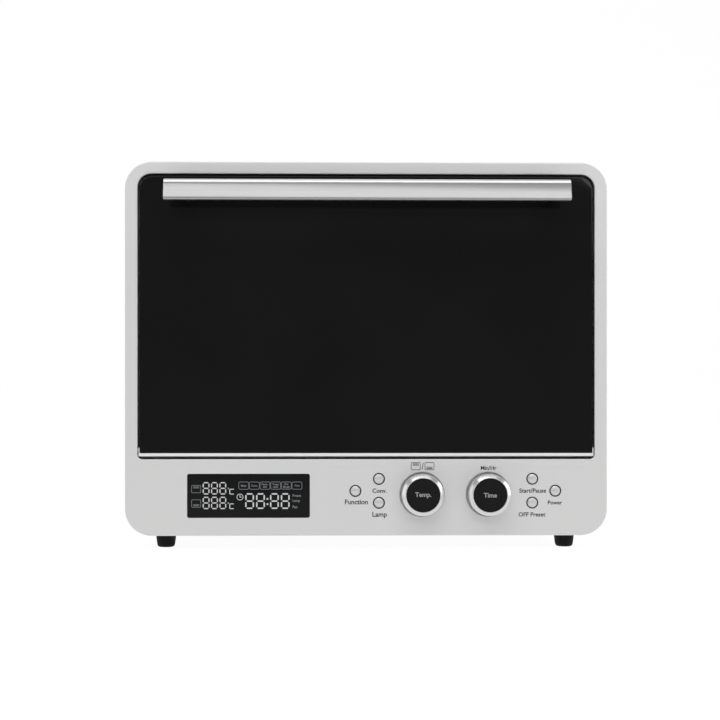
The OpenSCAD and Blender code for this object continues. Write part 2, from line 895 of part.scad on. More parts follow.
module hinge_brackets() {
    x1 = bracket_x0 + bracket_t;
    color(zinc) placed() both_sides() difference() {
        union() {
            rod_x(bracket_x0, x1, hinge_y, hinge_z, 3.3);
            box([bracket_x0, hinge_y, hinge_z - 3.3], [x1, fascia_d, hinge_z + 3.3]);
            box([bracket_x0, 14, bracket_z0], [x1, fascia_d, bracket_z1]);
            box([bracket_x0, fascia_d - 1.5, bracket_z0], [bracket_x0 + 8, fascia_d, bracket_z1]);
        }
        rod_x(bracket_x0 - over, x1 + over, hinge_y, hinge_z, pin_r + snug);
    }
}

module hinge_pins() {
    x1 = bracket_x0 + bracket_t;
    color(steel) placed() both_sides() {
        rod_x(pin_x0, x1 + 0.1, hinge_y, hinge_z, pin_r);
        rod_x(x1, x1 + 1.2, hinge_y, hinge_z, 3.3);
    }
}

// A coil from its lower hook on the base plate to its upper hook on the lever.
module hinge_springs() {
    hook_r = 3.2;
    coil_z0 = spring_foot_z + 2 * hook_r;
    coil_z1 = lever_hole_z - 2 * hook_r;
    turns = floor((coil_z1 - coil_z0) / spring_pitch);
    color(steel) placed() both_sides() translate([lever_x0 + lever_t / 2, lever_hole_y, 0]) {
        for (z = [spring_foot_z + hook_r, lever_hole_z - hook_r])
            translate([0, 0, z]) rotate([90, 0, 0]) rotate_extrude() translate([hook_r, 0]) circle(spring_wire_r);
        for (z = [coil_z0, coil_z1 - 0.8]) rod_z(0, 0, z, z + 0.8, spring_r);
        rotate_extrude() {
            translate([spring_r - 0.3, coil_z0]) square([0.6, coil_z1 - coil_z0]);
            for (i = [0 : turns - 1])
                translate([spring_r, coil_z0 + spring_pitch * (i + 0.5)]) circle(spring_wire_r);
        }
    }
}

// ---- rack and tray ----

module wire_rack() {
    rim_r = 2.5;
    wire_r = 1.4;
    x = 194.5;
    y0 = 38;
    y1 = 288;
    z = cavity_z0 + rack_level + tray_gap + rim_r;
    wires = 19;
    color(steel) placed() {
        for (y = [y0, (y0 + y1) / 2, y1]) rod_x(-x, x, y, z, rim_r);
        both_sides() rod_y(x, z, y0, y1, rim_r);
        for (y = [y0, y1]) for (s = [-1, 1]) translate([s * x, y, z]) sphere(rim_r);
        for (i = [1 : wires - 1]) rod_y(-x + 2 * x * i / wires, z + 1.4, y0, y1, wire_r);
    }
}

module baking_tray() {
    rim_x = 197;
    wall_x = 187;
    y0 = 34;
    y1 = 291;
    t = 1;
    z = cavity_z0 + tray_level + tray_gap;
    depth = 20;
    color([0.2, 0.2, 0.21]) placed() difference() {
        union() {
            box([-rim_x, y0, z], [rim_x, y1, z + t]);
            box([-wall_x, y0 + 8, z - depth], [wall_x, y1 - 8, z + t]);
        }
        box([-wall_x + t, y0 + 8 + t, z - depth + t], [wall_x - t, y1 - 8 - t, z + 2 * t]);
    }
}

front_fascia();
outer_cover();
rear_cover();
base_plate();
front_frame();
cavity_top();
cavity_bottom();
cavity_side_left();
cavity_side_right();
cavity_back();
fan_cover();
door_seal();
upper_heaters();
lower_heaters();
heater_insulators();
lamp_holder();
lamp_bulb();
lamp_glass();
temperature_sensors();
motor_stator();
motor_coil();
crumb_tray();
feet();
rear_spacers();
cord_gland();
control_board();
power_board();
display_window();
display_module();
button_guides();
encoder_bodies();
hinge_brackets();
hinge_pins();
hinge_springs();
casing_screws();
outer_glass();
inner_glass();
door_frame();
door_trim();
handle_bar();
handle_back();
handle_posts();
door_screws();
hinge_levers();
temp_plunger();
temp_knob();
temp_cap();
time_plunger();
time_knob();
time_cap();
button_function();
button_convection();
button_lamp();
button_start_pause();
button_preset();
button_power();
impeller();
cooling_fan();
motor_rotor();
wire_rack();
baking_tray();
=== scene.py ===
"""Looks of the countertop toaster oven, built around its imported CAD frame. Metres, +Z up, door facing -Y."""

import math

import bmesh
import bpy
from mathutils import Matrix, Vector
from mathutils.geometry import delaunay_2d_cdt


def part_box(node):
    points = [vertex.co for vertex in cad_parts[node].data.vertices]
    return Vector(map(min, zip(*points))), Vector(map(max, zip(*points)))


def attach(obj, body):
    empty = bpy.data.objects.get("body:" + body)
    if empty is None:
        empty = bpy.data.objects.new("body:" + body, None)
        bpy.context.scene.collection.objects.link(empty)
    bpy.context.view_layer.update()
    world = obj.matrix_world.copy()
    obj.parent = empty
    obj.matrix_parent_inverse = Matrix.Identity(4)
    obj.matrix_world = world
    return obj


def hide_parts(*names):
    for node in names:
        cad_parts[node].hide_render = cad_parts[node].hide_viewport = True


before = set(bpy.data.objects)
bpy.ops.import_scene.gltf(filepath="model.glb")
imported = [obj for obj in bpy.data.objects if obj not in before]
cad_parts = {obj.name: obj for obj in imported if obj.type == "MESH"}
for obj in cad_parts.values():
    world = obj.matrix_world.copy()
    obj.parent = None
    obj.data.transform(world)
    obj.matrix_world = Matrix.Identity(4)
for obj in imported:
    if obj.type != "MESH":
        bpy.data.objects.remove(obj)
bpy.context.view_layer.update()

MM = 0.001
scene = bpy.context.scene


def centre(node):
    low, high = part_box(node)
    return (low + high) / 2


def size(node):
    low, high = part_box(node)
    return high - low


# ---- driving places, all from the frame ----

fascia_low, fascia_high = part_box("front_fascia")
glass_low, glass_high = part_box("outer_glass")
trim_low, trim_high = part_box("door_trim")
window_low, window_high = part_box("display_window")
cover_low, cover_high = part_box("outer_cover")
FRONT = fascia_low.y
DOOR_GAP = 2 * MM
FASCIA_WALL = 2 * MM
CORNER_R = 27 * MM
DOOR_R = 12 * MM
TRIM_R = 6.6 * MM
SHEET = size("rear_cover").y
HINGE_Y = glass_low.y + TRIM_R
HINGE_Z = trim_low.z + TRIM_R
WINDOW_FLANGE = 4 * MM
PRINT_T = 0.04 * MM

# ---- camera and stage ----

CAMERA_DISTANCE = 1.4
CAMERA_X = -0.05
CAMERA_Z = 0.147
CAMERA_YAW = math.radians(-1.0)
LENS = 70.0
SENSOR_WIDTH = 36.0
SHIFT_X = 0.0262
SHIFT_Y = 0.0594


def make_camera():
    data = bpy.data.cameras.new("camera")
    data.lens = LENS
    data.sensor_width = SENSOR_WIDTH
    data.shift_x = SHIFT_X
    data.shift_y = SHIFT_Y
    camera = bpy.data.objects.new("camera", data)
    camera.location = (CAMERA_X, FRONT - CAMERA_DISTANCE, CAMERA_Z)
    camera.rotation_euler = (math.pi / 2, 0, CAMERA_YAW)
    scene.collection.objects.link(camera)
    scene.camera = camera


make_camera()

# ---- node helpers ----


class Shader:
    """A material with a Principled shader and short calls for its procedural nodes."""

    def __init__(self, name, color, roughness, metallic=0.0, **sockets):
        self.material = bpy.data.materials.new(name)
        self.material.use_nodes = True
        self.tree = self.material.node_tree
        self.shader = self.tree.nodes["Principled BSDF"]
        self.color = color
        self.shader.inputs["Base Color"].default_value = (*color, 1)
        self.shader.inputs["Roughness"].default_value = roughness
        self.shader.inputs["Metallic"].default_value = metallic
        for socket, value in sockets.items():
            self.shader.inputs[socket.replace("_", " ")].default_value = value
        self.heights = []

    def node(self, kind, **values):
        node = self.tree.nodes.new(kind)
        for name, value in values.items():
            if name in node.inputs:
                node.inputs[name].default_value = value
            else:
                setattr(node, name, value)
        return node

    def link(self, source, target):
        self.tree.links.new(source, target)

    def position(self, stretch=(1, 1, 1), centre_at=(0, 0, 0)):
        """Object coordinates in metres, moved and stretched."""
        coord = self.node("ShaderNodeTexCoord")
        mapping = self.node("ShaderNodeMapping", vector_type="POINT")
        mapping.inputs["Scale"].default_value = stretch
        mapping.inputs["Location"].default_value = [-c * s for c, s in zip(centre_at, stretch)]
        self.link(coord.outputs["Object"], mapping.inputs["Vector"])
        return mapping.outputs["Vector"]

    def noise(self, scale, detail=3.0, stretch=(1, 1, 1), roughness=0.55):
        node = self.node("ShaderNodeTexNoise", Scale=scale, Detail=detail, Roughness=roughness)
        self.link(self.position(stretch), node.inputs["Vector"])
        return node.outputs["Fac"]

    def range(self, value, low, high, from_low=0.3, from_high=0.7):
        node = self.node("ShaderNodeMapRange")
        node.inputs["From Min"].default_value = from_low
        node.inputs["From Max"].default_value = from_high
        node.inputs["To Min"].default_value = low
        node.inputs["To Max"].default_value = high
        self.link(value, node.inputs["Value"])
        return node.outputs["Result"]

    def vary_roughness(self, value, low, high):
        self.link(self.range(value, low, high), self.shader.inputs["Roughness"])

    def vary_color(self, value, dark, light):
        """Runs the base colour from dark to light times its own value."""
        ramp = self.node("ShaderNodeValToRGB")
        ramp.color_ramp.elements[0].position = 0.3
        ramp.color_ramp.elements[1].position = 0.7
        ramp.color_ramp.elements[0].color = (*[c * dark for c in self.color], 1)
        ramp.color_ramp.elements[1].color = (*[c * light for c in self.color], 1)
        self.link(value, ramp.inputs["Fac"])
        self.link(ramp.outputs["Color"], self.shader.inputs["Base Color"])

    def bump(self, value, distance, strength=1.0):
        node = self.node("ShaderNodeBump", Strength=strength, Distance=distance)
        self.link(value, node.inputs["Height"])
        if self.heights:
            self.link(self.heights[-1], node.inputs["Normal"])
        self.heights.append(node.outputs["Normal"])
        self.link(self.heights[-1], self.shader.inputs["Normal"])


# ---- materials ----


def silver_paint():
    m = Shader("silver_paint", (0.655, 0.655, 0.652), 0.42, 0.12)
    m.vary_color(m.noise(2600, 2), 0.985, 1.015)
    m.vary_roughness(m.noise(9, 4), 0.40, 0.46)
    m.bump(m.noise(3200, 2), 0.004 * MM, 0.6)
    m.bump(m.noise(240, 2), 0.01 * MM, 0.25)
    return m.material


def satin_aluminium():
    """Fine satin anodised face, brushed along its length."""
    m = Shader("satin_aluminium", (0.42, 0.42, 0.42), 0.22, 0.4)
    streaks = m.noise(900, 4, stretch=(0.008, 1, 1))
    m.vary_color(streaks, 0.95, 1.04)
    m.vary_roughness(m.noise(700, 3, stretch=(0.02, 1, 1)), 0.12, 0.17)
    m.bump(streaks, 0.001 * MM, 0.3)
    return m.material


def bright_aluminium():
    """The rail's clear anodised face, brushed along its length."""
    m = Shader("bright_aluminium", (0.84, 0.84, 0.84), 0.32, 0.15)
    streaks = m.noise(900, 4, stretch=(0.01, 1, 1))
    m.vary_color(streaks, 0.96, 1.03)
    m.vary_roughness(m.noise(700, 3, stretch=(0.02, 1, 1)), 0.26, 0.38)
    m.bump(streaks, 0.003 * MM, 0.3)
    return m.material


def turned_metal(name, x, z, color, metallic, low, high):
    """Metal with fine concentric turning marks about a line along Y."""
    m = Shader(name, color, 0.2, metallic)
    split = m.node("ShaderNodeSeparateXYZ")
    m.link(m.position(centre_at=(x, 0, z)), split.inputs[0])
    flat = m.node("ShaderNodeCombineXYZ")
    m.link(split.outputs["X"], flat.inputs["X"])
    m.link(split.outputs["Z"], flat.inputs["Y"])
    length = m.node("ShaderNodeVectorMath", operation="LENGTH")
    m.link(flat.outputs[0], length.inputs[0])
    radial = m.node("ShaderNodeCombineXYZ")
    m.link(length.outputs["Value"], radial.inputs["X"])
    m.link(split.outputs["Y"], radial.inputs["Y"])
    marks = m.node("ShaderNodeTexNoise", Scale=4200, Detail=3)
    m.link(radial.outputs[0], marks.inputs["Vector"])
    m.vary_color(marks.outputs["Fac"], 0.95, 1.04)
    m.vary_roughness(marks.outputs["Fac"], low, high)
    m.bump(marks.outputs["Fac"], 0.0008 * MM, 0.3)
    return m.material


def door_glass():
    m = Shader("door_glass", (0.0062, 0.0062, 0.0063), 0.05)
    m.shader.inputs["Specular IOR Level"].default_value = 0.3
    m.vary_roughness(m.noise(14, 3), 0.035, 0.07)
    m.vary_color(m.noise(6, 2), 0.85, 1.15)
    m.bump(m.noise(5, 1), 0.02 * MM, 0.05)
    return m.material


def inner_glass():
    m = Shader("inner_door_glass", (0.55, 0.6, 0.6), 0.04)
    m.shader.inputs["Transmission Weight"].default_value = 0.9
    m.vary_roughness(m.noise(30, 3), 0.02, 0.09)
    m.vary_color(m.noise(8, 2), 0.9, 1.05)
    return m.material


def window_lens():
    m = Shader("window_lens", (0.0085, 0.009, 0.0092), 0.14)
    m.shader.inputs["Specular IOR Level"].default_value = 0.07
    m.vary_roughness(m.noise(60, 3), 0.1, 0.17)
    m.vary_color(m.noise(25, 2), 0.85, 1.1)
    return m.material


def black_plastic():
    m = Shader("black_plastic", (0.012, 0.012, 0.012), 0.45)
    m.vary_roughness(m.noise(120, 3), 0.4, 0.55)
    m.vary_color(m.noise(900, 2), 0.8, 1.25)
    m.bump(m.noise(2400, 2), 0.01 * MM, 0.5)
    return m.material


def knob_black():
    m = Shader("knob_black", (0.0085, 0.0085, 0.0087), 0.4)
    m.shader.inputs["Specular IOR Level"].default_value = 0.1
    m.vary_roughness(m.noise(300, 3), 0.32, 0.42)
    m.vary_color(m.noise(1500, 2), 0.85, 1.2)
    m.bump(m.noise(3000, 2), 0.004 * MM, 0.5)
    return m.material


def rubber():
    m = Shader("rubber", (0.005, 0.005, 0.005), 0.6)
    m.shader.inputs["Specular IOR Level"].default_value = 0.12
    m.vary_roughness(m.noise(200, 4), 0.5, 0.7)
    m.vary_color(m.noise(400, 3), 0.7, 1.4)
    m.bump(m.noise(1800, 3), 0.02 * MM, 0.5)
    return m.material


def black_enamel():
    m = Shader("black_enamel", (0.012, 0.012, 0.0125), 0.3)
    m.vary_roughness(m.noise(90, 4), 0.22, 0.38)
    m.vary_color(m.noise(1200, 3), 0.7, 1.5)
    m.bump(m.noise(700, 3), 0.01 * MM, 0.4)
    return m.material


def galvanised():
    """Zinc-coated sheet with its faint crystal spangle."""
    m = Shader("galvanised", (0.5, 0.51, 0.52), 0.38, 0.9)
    cells = m.node("ShaderNodeTexVoronoi", Scale=190)
    m.link(m.position(), cells.inputs["Vector"])
    grey = m.node("ShaderNodeRGBToBW")
    m.link(cells.outputs["Color"], grey.inputs["Color"])
    m.vary_color(grey.outputs["Val"], 0.96, 1.03)
    m.vary_roughness(grey.outputs["Val"], 0.35, 0.43)
    m.bump(m.noise(500, 3), 0.01 * MM, 0.3)
    return m.material


def cavity_sheet():
    """Aluminised oven sheet with a faint rolling grain."""
    m = Shader("cavity_sheet", (0.42, 0.42, 0.41), 0.42, 0.85)
    m.vary_color(m.noise(30, 4), 0.9, 1.08)
    m.vary_roughness(m.noise(600, 3, stretch=(1, 0.03, 1)), 0.36, 0.52)
    m.bump(m.noise(900, 3, stretch=(1, 0.05, 1)), 0.01 * MM, 0.35)
    return m.material


def plated_steel(name="plated_steel", color=(0.6, 0.6, 0.61), low=0.2, high=0.34):
    m = Shader(name, color, 0.28, 1.0)
    m.vary_color(m.noise(220, 3), 0.9, 1.06)
    m.vary_roughness(m.noise(340, 3), low, high)
    m.bump(m.noise(1500, 2), 0.006 * MM, 0.4)
    return m.material


def heater_tube():
    m = Shader("heater_tube", (0.14, 0.125, 0.115), 0.55, 0.7)
    m.vary_color(m.noise(60, 4, stretch=(0.4, 1, 1)), 0.6, 1.5)
    m.vary_roughness(m.noise(200, 3), 0.45, 0.7)
    m.bump(m.noise(1200, 3), 0.02 * MM, 0.5)
    return m.material


def ceramic():
    m = Shader("ceramic", (0.72, 0.7, 0.65), 0.6)
    m.vary_color(m.noise(150, 4), 0.9, 1.05)
    m.vary_roughness(m.noise(400, 3), 0.5, 0.7)
    m.bump(m.noise(1500, 3), 0.02 * MM, 0.5)
    return m.material


def circuit_board():
    m = Shader("circuit_board", (0.02, 0.11, 0.05), 0.35)
    m.vary_color(m.noise(320, 2, stretch=(1, 0.15, 1)), 0.75, 1.5)
    m.vary_roughness(m.noise(500, 2), 0.28, 0.45)
    m.bump(m.noise(320, 2, stretch=(1, 0.15, 1)), 0.03 * MM, 0.4)
    return m.material


def copper_winding():
    m = Shader("copper_winding", (0.5, 0.2, 0.07), 0.35, 0.9)
    turns = m.noise(900, 1, stretch=(0.02, 1, 1))
    m.vary_color(turns, 0.6, 1.2)
    m.vary_roughness(turns, 0.25, 0.45)
    m.bump(turns, 0.1 * MM, 0.6)
    return m.material


def laminations():
    m = Shader("laminations", (0.2, 0.21, 0.22), 0.45, 0.8)
    sheets = m.noise(1500, 1, stretch=(0.01, 1, 0.01))
    m.vary_color(sheets, 0.7, 1.2)
    m.vary_roughness(sheets, 0.35, 0.55)
    m.bump(sheets, 0.05 * MM, 0.6)
    return m.material


def lamp_glass():
    m = Shader("lamp_glass", (0.92, 0.92, 0.88), 0.12)
    m.shader.inputs["Transmission Weight"].default_value = 0.85
    m.vary_roughness(m.noise(90, 3), 0.08, 0.25)
    m.vary_color(m.noise(40, 2), 0.94, 1.0)
    return m.material


def ink(name, color):
    """Pad-printed ink, slightly uneven."""
    m = Shader(name, color, 0.5)
    m.vary_color(m.noise(1500, 2), 0.9, 1.1)
    m.vary_roughness(m.noise(900, 2), 0.42, 0.6)
    return m.material


def lit(name, color, strength):
    """A lit display segment, a little brighter in its middle."""
    m = Shader(name, (0.02, 0.02, 0.02), 0.4)
    m.shader.inputs["Emission Color"].default_value = (*color, 1)
    m.shader.inputs["Emission Strength"].default_value = strength
    m.vary_roughness(m.noise(900, 2), 0.35, 0.5)
    m.vary_color(m.noise(900, 2), 0.8, 1.2)
    return m.material


def stage_white(name, color, emission):
    m = Shader(name, color, 0.9)
    m.shader.inputs["Specular IOR Level"].default_value = 0.0
    m.shader.inputs["Emission Color"].default_value = (1, 1, 1, 1)
    m.shader.inputs["Emission Strength"].default_value = emission
    return m.material


SILVER = silver_paint()
SATIN = satin_aluminium()
RAIL = bright_aluminium()
GLASS = door_glass()
INNER_GLASS = inner_glass()
LENS_BLACK = window_lens()
PLASTIC = black_plastic()
CAP_BLACK = knob_black()
RUBBER = rubber()
ENAMEL = black_enamel()
ZINC = galvanised()
CAVITY = cavity_sheet()
STEEL = plated_steel()
CHROME_WIRE = plated_steel("chromed_wire", (0.72, 0.72, 0.73), 0.12, 0.22)
HEATER = heater_tube()
CERAMIC = ceramic()
BOARD = circuit_board()
COPPER = copper_winding()
LAMINATION = laminations()
LAMP_GLASS = lamp_glass()
LABEL_INK = ink("label_ink", (0.03, 0.03, 0.03))
CAP_INK = ink("cap_ink", (0.3, 0.3, 0.3))
SEGMENT = lit("segment_light", (0.96, 0.97, 0.96), 0.56)
ICON = lit("icon_light", (0.85, 0.9, 0.95), 0.17)

# ---- mesh helpers ----


class Shape:
    """A closed loop in X and Z: a rectangle with its own upper and lower corner radii, or a circle."""

    def __init__(self, x0, x1, z0, z1, low_r, high_r, steps=12):
        self.box = (x0, x1, z0, z1)
        self.radii = (low_r, high_r)
        self.steps = steps

    def points(self, grow):
        """The loop's points, counter-clockwise seen from the front, moved outward by grow."""
        x0, x1, z0, z1 = self.box
        low_r, high_r = (max(r + grow, 0.02 * MM) for r in self.radii)
        corners = [
            (x0 - grow + low_r, z0 - grow + low_r, low_r, 180),
            (x1 + grow - low_r, z0 - grow + low_r, low_r, 270),
            (x1 + grow - high_r, z1 + grow - high_r, high_r, 0),
            (x0 - grow + high_r, z1 + grow - high_r, high_r, 90),
        ]
        loop = []
        for cx, cz, r, start in corners:
            for i in range(self.steps + 1):
                a = math.radians(start + 90 * i / self.steps)
                loop.append((cx + r * math.cos(a), cz + r * math.sin(a)))
        return loop


def circle(x, z, r, steps=24):
    return Shape(x - r, x + r, z - r, z + r, r, r, steps)


def rect_of(low, high, low_r, high_r, grow=0.0, steps=12):
    return Shape(low.x - grow, high.x + grow, low.z - grow, high.z + grow, low_r, high_r, steps)


def ring(bm, shape, grow, y):
    return [bm.verts.new((x, y, z)) for x, z in shape.points(grow)]


def bridge(bm, a, b):
    for i in range(len(a)):
        bm.faces.new((a[i - 1], a[i], b[i], b[i - 1]))


def sweep(bm, shape, profile, start=None, end=None):
    """Joins the shape's loops along a profile of (grow, y). Returns the first and last loops."""
    loops = [start] if start else []
    loops += [ring(bm, shape, grow, y) for grow, y in profile]
    loops += [end] if end else []
    for a, b in zip(loops, loops[1:]):
        bridge(bm, a, b)
    return loops[0], loops[-1]


def inside(point, loop):
    """True when the point in X and Z lies inside the loop."""
    x, z = point
    hit = False
    for i in range(len(loop)):
        (x0, z0), (x1, z1) = loop[i - 1], loop[i]
        if (z0 > z) != (z1 > z) and x < x0 + (z - z0) * (x1 - x0) / (z1 - z0):
            hit = not hit
    return hit


def fill(bm, outer, *holes):
    """Fills a flat region between an outer loop and the holes in it."""
    verts = [v for loop in (outer, *holes) for v in loop]
    flat = [(v.co.x, v.co.z) for v in verts]
    edges, rings, start = [], [], 0
    for loop in (outer, *holes):
        count = len(loop)
        edges += [(start + i, start + (i + 1) % count) for i in range(count)]
        rings.append(flat[start:start + count])
        start += count
    result = delaunay_2d_cdt([Vector(p) for p in flat], edges, [], 0, 1e-9)
    places, triangles, sources = result[0], result[2], result[3]
    for face in triangles:
        middle = [sum(places[i][k] for i in face) / 3 for k in (0, 1)]
        if inside(middle, rings[0]) and not any(inside(middle, hole) for hole in rings[1:]):
            bm.faces.new([verts[sources[i][0]] for i in face])


def arc(cx, cy, r, start, end, steps=6):
    """Points on an arc, in degrees."""
    angles = [math.radians(start + (end - start) * i / steps) for i in range(steps + 1)]
    return [(cx + r * math.cos(a), cy + r * math.sin(a)) for a in angles]


def bend(parts, y, z):
    """A face's outline in Y and Z, going up.

    Each part is (first tilt, last tilt, height), with tilts in degrees and the height in mm.
    """
    points = [(y, z)]
    for start, end, height in parts:
        a, b = math.radians(start), math.radians(end)
        r = height * MM / (math.sin(b) - math.sin(a))
        for i in range(1, 7):
            t = math.radians(start + (end - start) * i / 6)
            points.append((y + r * (math.cos(a) - math.cos(t)), z + r * (math.sin(t) - math.sin(a))))
        y, z = points[-1]
    return points


def object_from(bm, name, material, angle=35):
    """Turns the mesh into a smooth-shaded object with crisp creases."""
    bmesh.ops.recalc_face_normals(bm, faces=bm.faces)
    mesh = bpy.data.meshes.new(name)
    bm.to_mesh(mesh)
    bm.free()
    mesh.materials.append(material)
    obj = bpy.data.objects.new(name, mesh)
    scene.collection.objects.link(obj)
    smooth(obj, angle)
    return obj


def smooth(obj, angle=35):
    mesh = obj.data
    mesh.polygons.foreach_set("use_smooth", [True] * len(mesh.polygons))
    mesh.set_sharp_from_angle(angle=math.radians(angle))
    weighted = obj.modifiers.new("weighted", "WEIGHTED_NORMAL")
    weighted.keep_sharp = True
    return obj


def place(obj, body, slot, *nodes):
    """Rides the piece on its body and hides the CAD nodes it stands for; the slot is not used."""
    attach(obj, body)
    if nodes:
        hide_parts(*nodes)
    return obj


def lathe_y(bm, x, z, profile, steps=16):
    """A closed solid turned about a line along Y: profile is (radius, y) from axis to axis."""
    shape = circle(x, z, 0, steps)
    loops = [ring(bm, shape, r, y) for r, y in profile if r > 0]
    for a, b in zip(loops, loops[1:]):
        bridge(bm, a, b)
    for loop in (loops[0], loops[-1]):
        if (loop is loops[0] and profile[0][0] == 0) or (loop is loops[-1] and profile[-1][0] == 0):
            bm.faces.new(loop)
    if profile[0][0] > 0 and profile[-1][0] > 0:
        bridge(bm, loops[-1], loops[0])


def lathe_z(bm, x, y, profile, steps=48):
    """A closed solid turned about a line along Z: profile is (radius, z) from axis to axis."""
    loops = []
    for r, z in profile:
        if r > 0:
            angles = [2 * math.pi * k / steps for k in range(steps)]
            loops.append([bm.verts.new((x + r * math.cos(a), y + r * math.sin(a), z)) for a in angles])
    for a, b in zip(loops, loops[1:]):
        bridge(bm, a, b)
    bm.faces.new(loops[0])
    bm.faces.new(loops[-1])


def extrude_x(bm, outline, x0, x1, bevel=0.0):
    """A prism along X from an outline in (y, z), with its ends drawn in by bevel."""
    cy = sum(p[0] for p in outline) / len(outline)
    cz = sum(p[1] for p in outline) / len(outline)

    def loop(x, inset):
        points = []
        for y, z in outline:
            v = Vector((cy - y, cz - z))
            shift = v.normalized() * inset if v.length else v
            points.append(bm.verts.new((x, y + shift.x, z + shift.y)))
        return points

    loops = [loop(x0, bevel), loop(x0 + bevel, 0), loop(x1 - bevel, 0), loop(x1, bevel)]
    if not bevel:
        loops = [loop(x0, 0), loop(x1, 0)]
    for a, b in zip(loops, loops[1:]):
        bridge(bm, a, b)
    bm.faces.new(loops[0])
    bm.faces.new(loops[-1])


def rounded_box(bm, low, high, r, steps=3):
    """A box with all its edges rounded."""
    low, high = Vector(low), Vector(high)
    made = bmesh.ops.create_cube(bm, size=1.0)["verts"]
    for v in made:
        v.co = (low + high) / 2 + Vector([c * s for c, s in zip(v.co, high - low)])
    edges = {e for v in made for e in v.link_edges}
    bmesh.ops.bevel(bm, geom=list(edges), offset=r, segments=steps, profile=0.5, affect="EDGES")


def tube(bm, path, r, steps=10, closed=False):
    """A round rod along a path of points."""
    path = [Vector(p) for p in path]
    count = len(path)
    loops = []
    side = None
    for i, p in enumerate(path):
        before = path[i - 1] if i or closed else p
        after = path[(i + 1) % count] if i < count - 1 or closed else p
        along = (after - before).normalized()
        if side is None:
            side = along.orthogonal().normalized()
        side = (side - along * side.dot(along)).normalized()
        up = along.cross(side)
        angles = [2 * math.pi * k / steps for k in range(steps)]
        loops.append([bm.verts.new(p + side * r * math.cos(a) + up * r * math.sin(a)) for a in angles])
    for a, b in zip(loops, loops[1:]):
        bridge(bm, a, b)
    if closed:
        bridge(bm, loops[-1], loops[0])
    else:
        bm.faces.new(loops[0])
        bm.faces.new(loops[-1])


def soften(obj, width):
    """Breaks the sharp edges of a CAD piece with modifiers alone."""
    planar = obj.modifiers.new("planar", "DECIMATE")
    planar.decimate_type = "DISSOLVE"
    planar.angle_limit = math.radians(1)
    bevel = obj.modifiers.new("edges", "BEVEL")
    bevel.width = width
    bevel.segments = 2
    bevel.limit_method = "ANGLE"
    bevel.angle_limit = math.radians(40)
    bevel.harden_normals = True


def cut(obj, cutters):
    """Subtracts a mesh of closed cutters and applies the result."""
    mesh = bpy.data.meshes.new("cutters")
    cutters.to_mesh(mesh)
    cutters.free()
    tool = bpy.data.objects.new("cutters", mesh)
    scene.collection.objects.link(tool)
    modifier = obj.modifiers.new("cut", "BOOLEAN")
    modifier.object = tool
    modifier.solver = "EXACT"
    obj.modifiers.move(len(obj.modifiers) - 1, 0)
    depsgraph = bpy.context.evaluated_depsgraph_get()
    for other in obj.modifiers:
        other.show_viewport = other == modifier
    depsgraph.update()
    result = bpy.data.meshes.new_from_object(obj.evaluated_get(bpy.context.evaluated_depsgraph_get()))
    old = obj.data
    obj.data = result
    bpy.data.meshes.remove(old)
    obj.modifiers.remove(modifier)
    for other in obj.modifiers:
        other.show_viewport = True
    bpy.data.objects.remove(tool)


# ---- casing ----

BUTTONS = ("function", "convection", "lamp", "start_pause", "preset", "power")
KNOBS = ("temp", "time")
BUTTON_HOLE_R = 6 * MM
FOOT_R = 10.25 * MM
# The round well behind each knob: (radius, depth behind the front) in mm, from its rim to its socket's edge
KNOB_WELL = ((22.95, 0), (22.8, 0.04), (22.65, 0.16), (22.5, 0.5), (22.2, 0.7), (22.08, 0.8), (22.0, 0.95),
             (22.0, 3.0), (21.8, 3.2), (4.7, 3.2), (4.7, 5.2), (24.8, 5.2), (25.0, 5.0), (25.0, 2.0))
# A foot's outside, then its hollow: (radius, height) in mm
FOOT_PROFILE = ((9.85, 8.5), (9.5, 5.6), (9.15, 3.2), (8.75, 1.7), (8.1, 0.7), (7.0, 0.12), (6.2, 0.0),
                (4.4, 0.0), (4.1, 0.4), (3.9, 6.0), (0, 6.2))
opening = Shape(glass_low.x - DOOR_GAP, glass_high.x + DOOR_GAP, trim_low.z - DOOR_GAP,
                glass_high.z + DOOR_GAP, 5 * MM, DOOR_R + DOOR_GAP, 16)
window = rect_of(window_low, window_high, 2 * MM, 2 * MM, -WINDOW_FLANGE, 6)


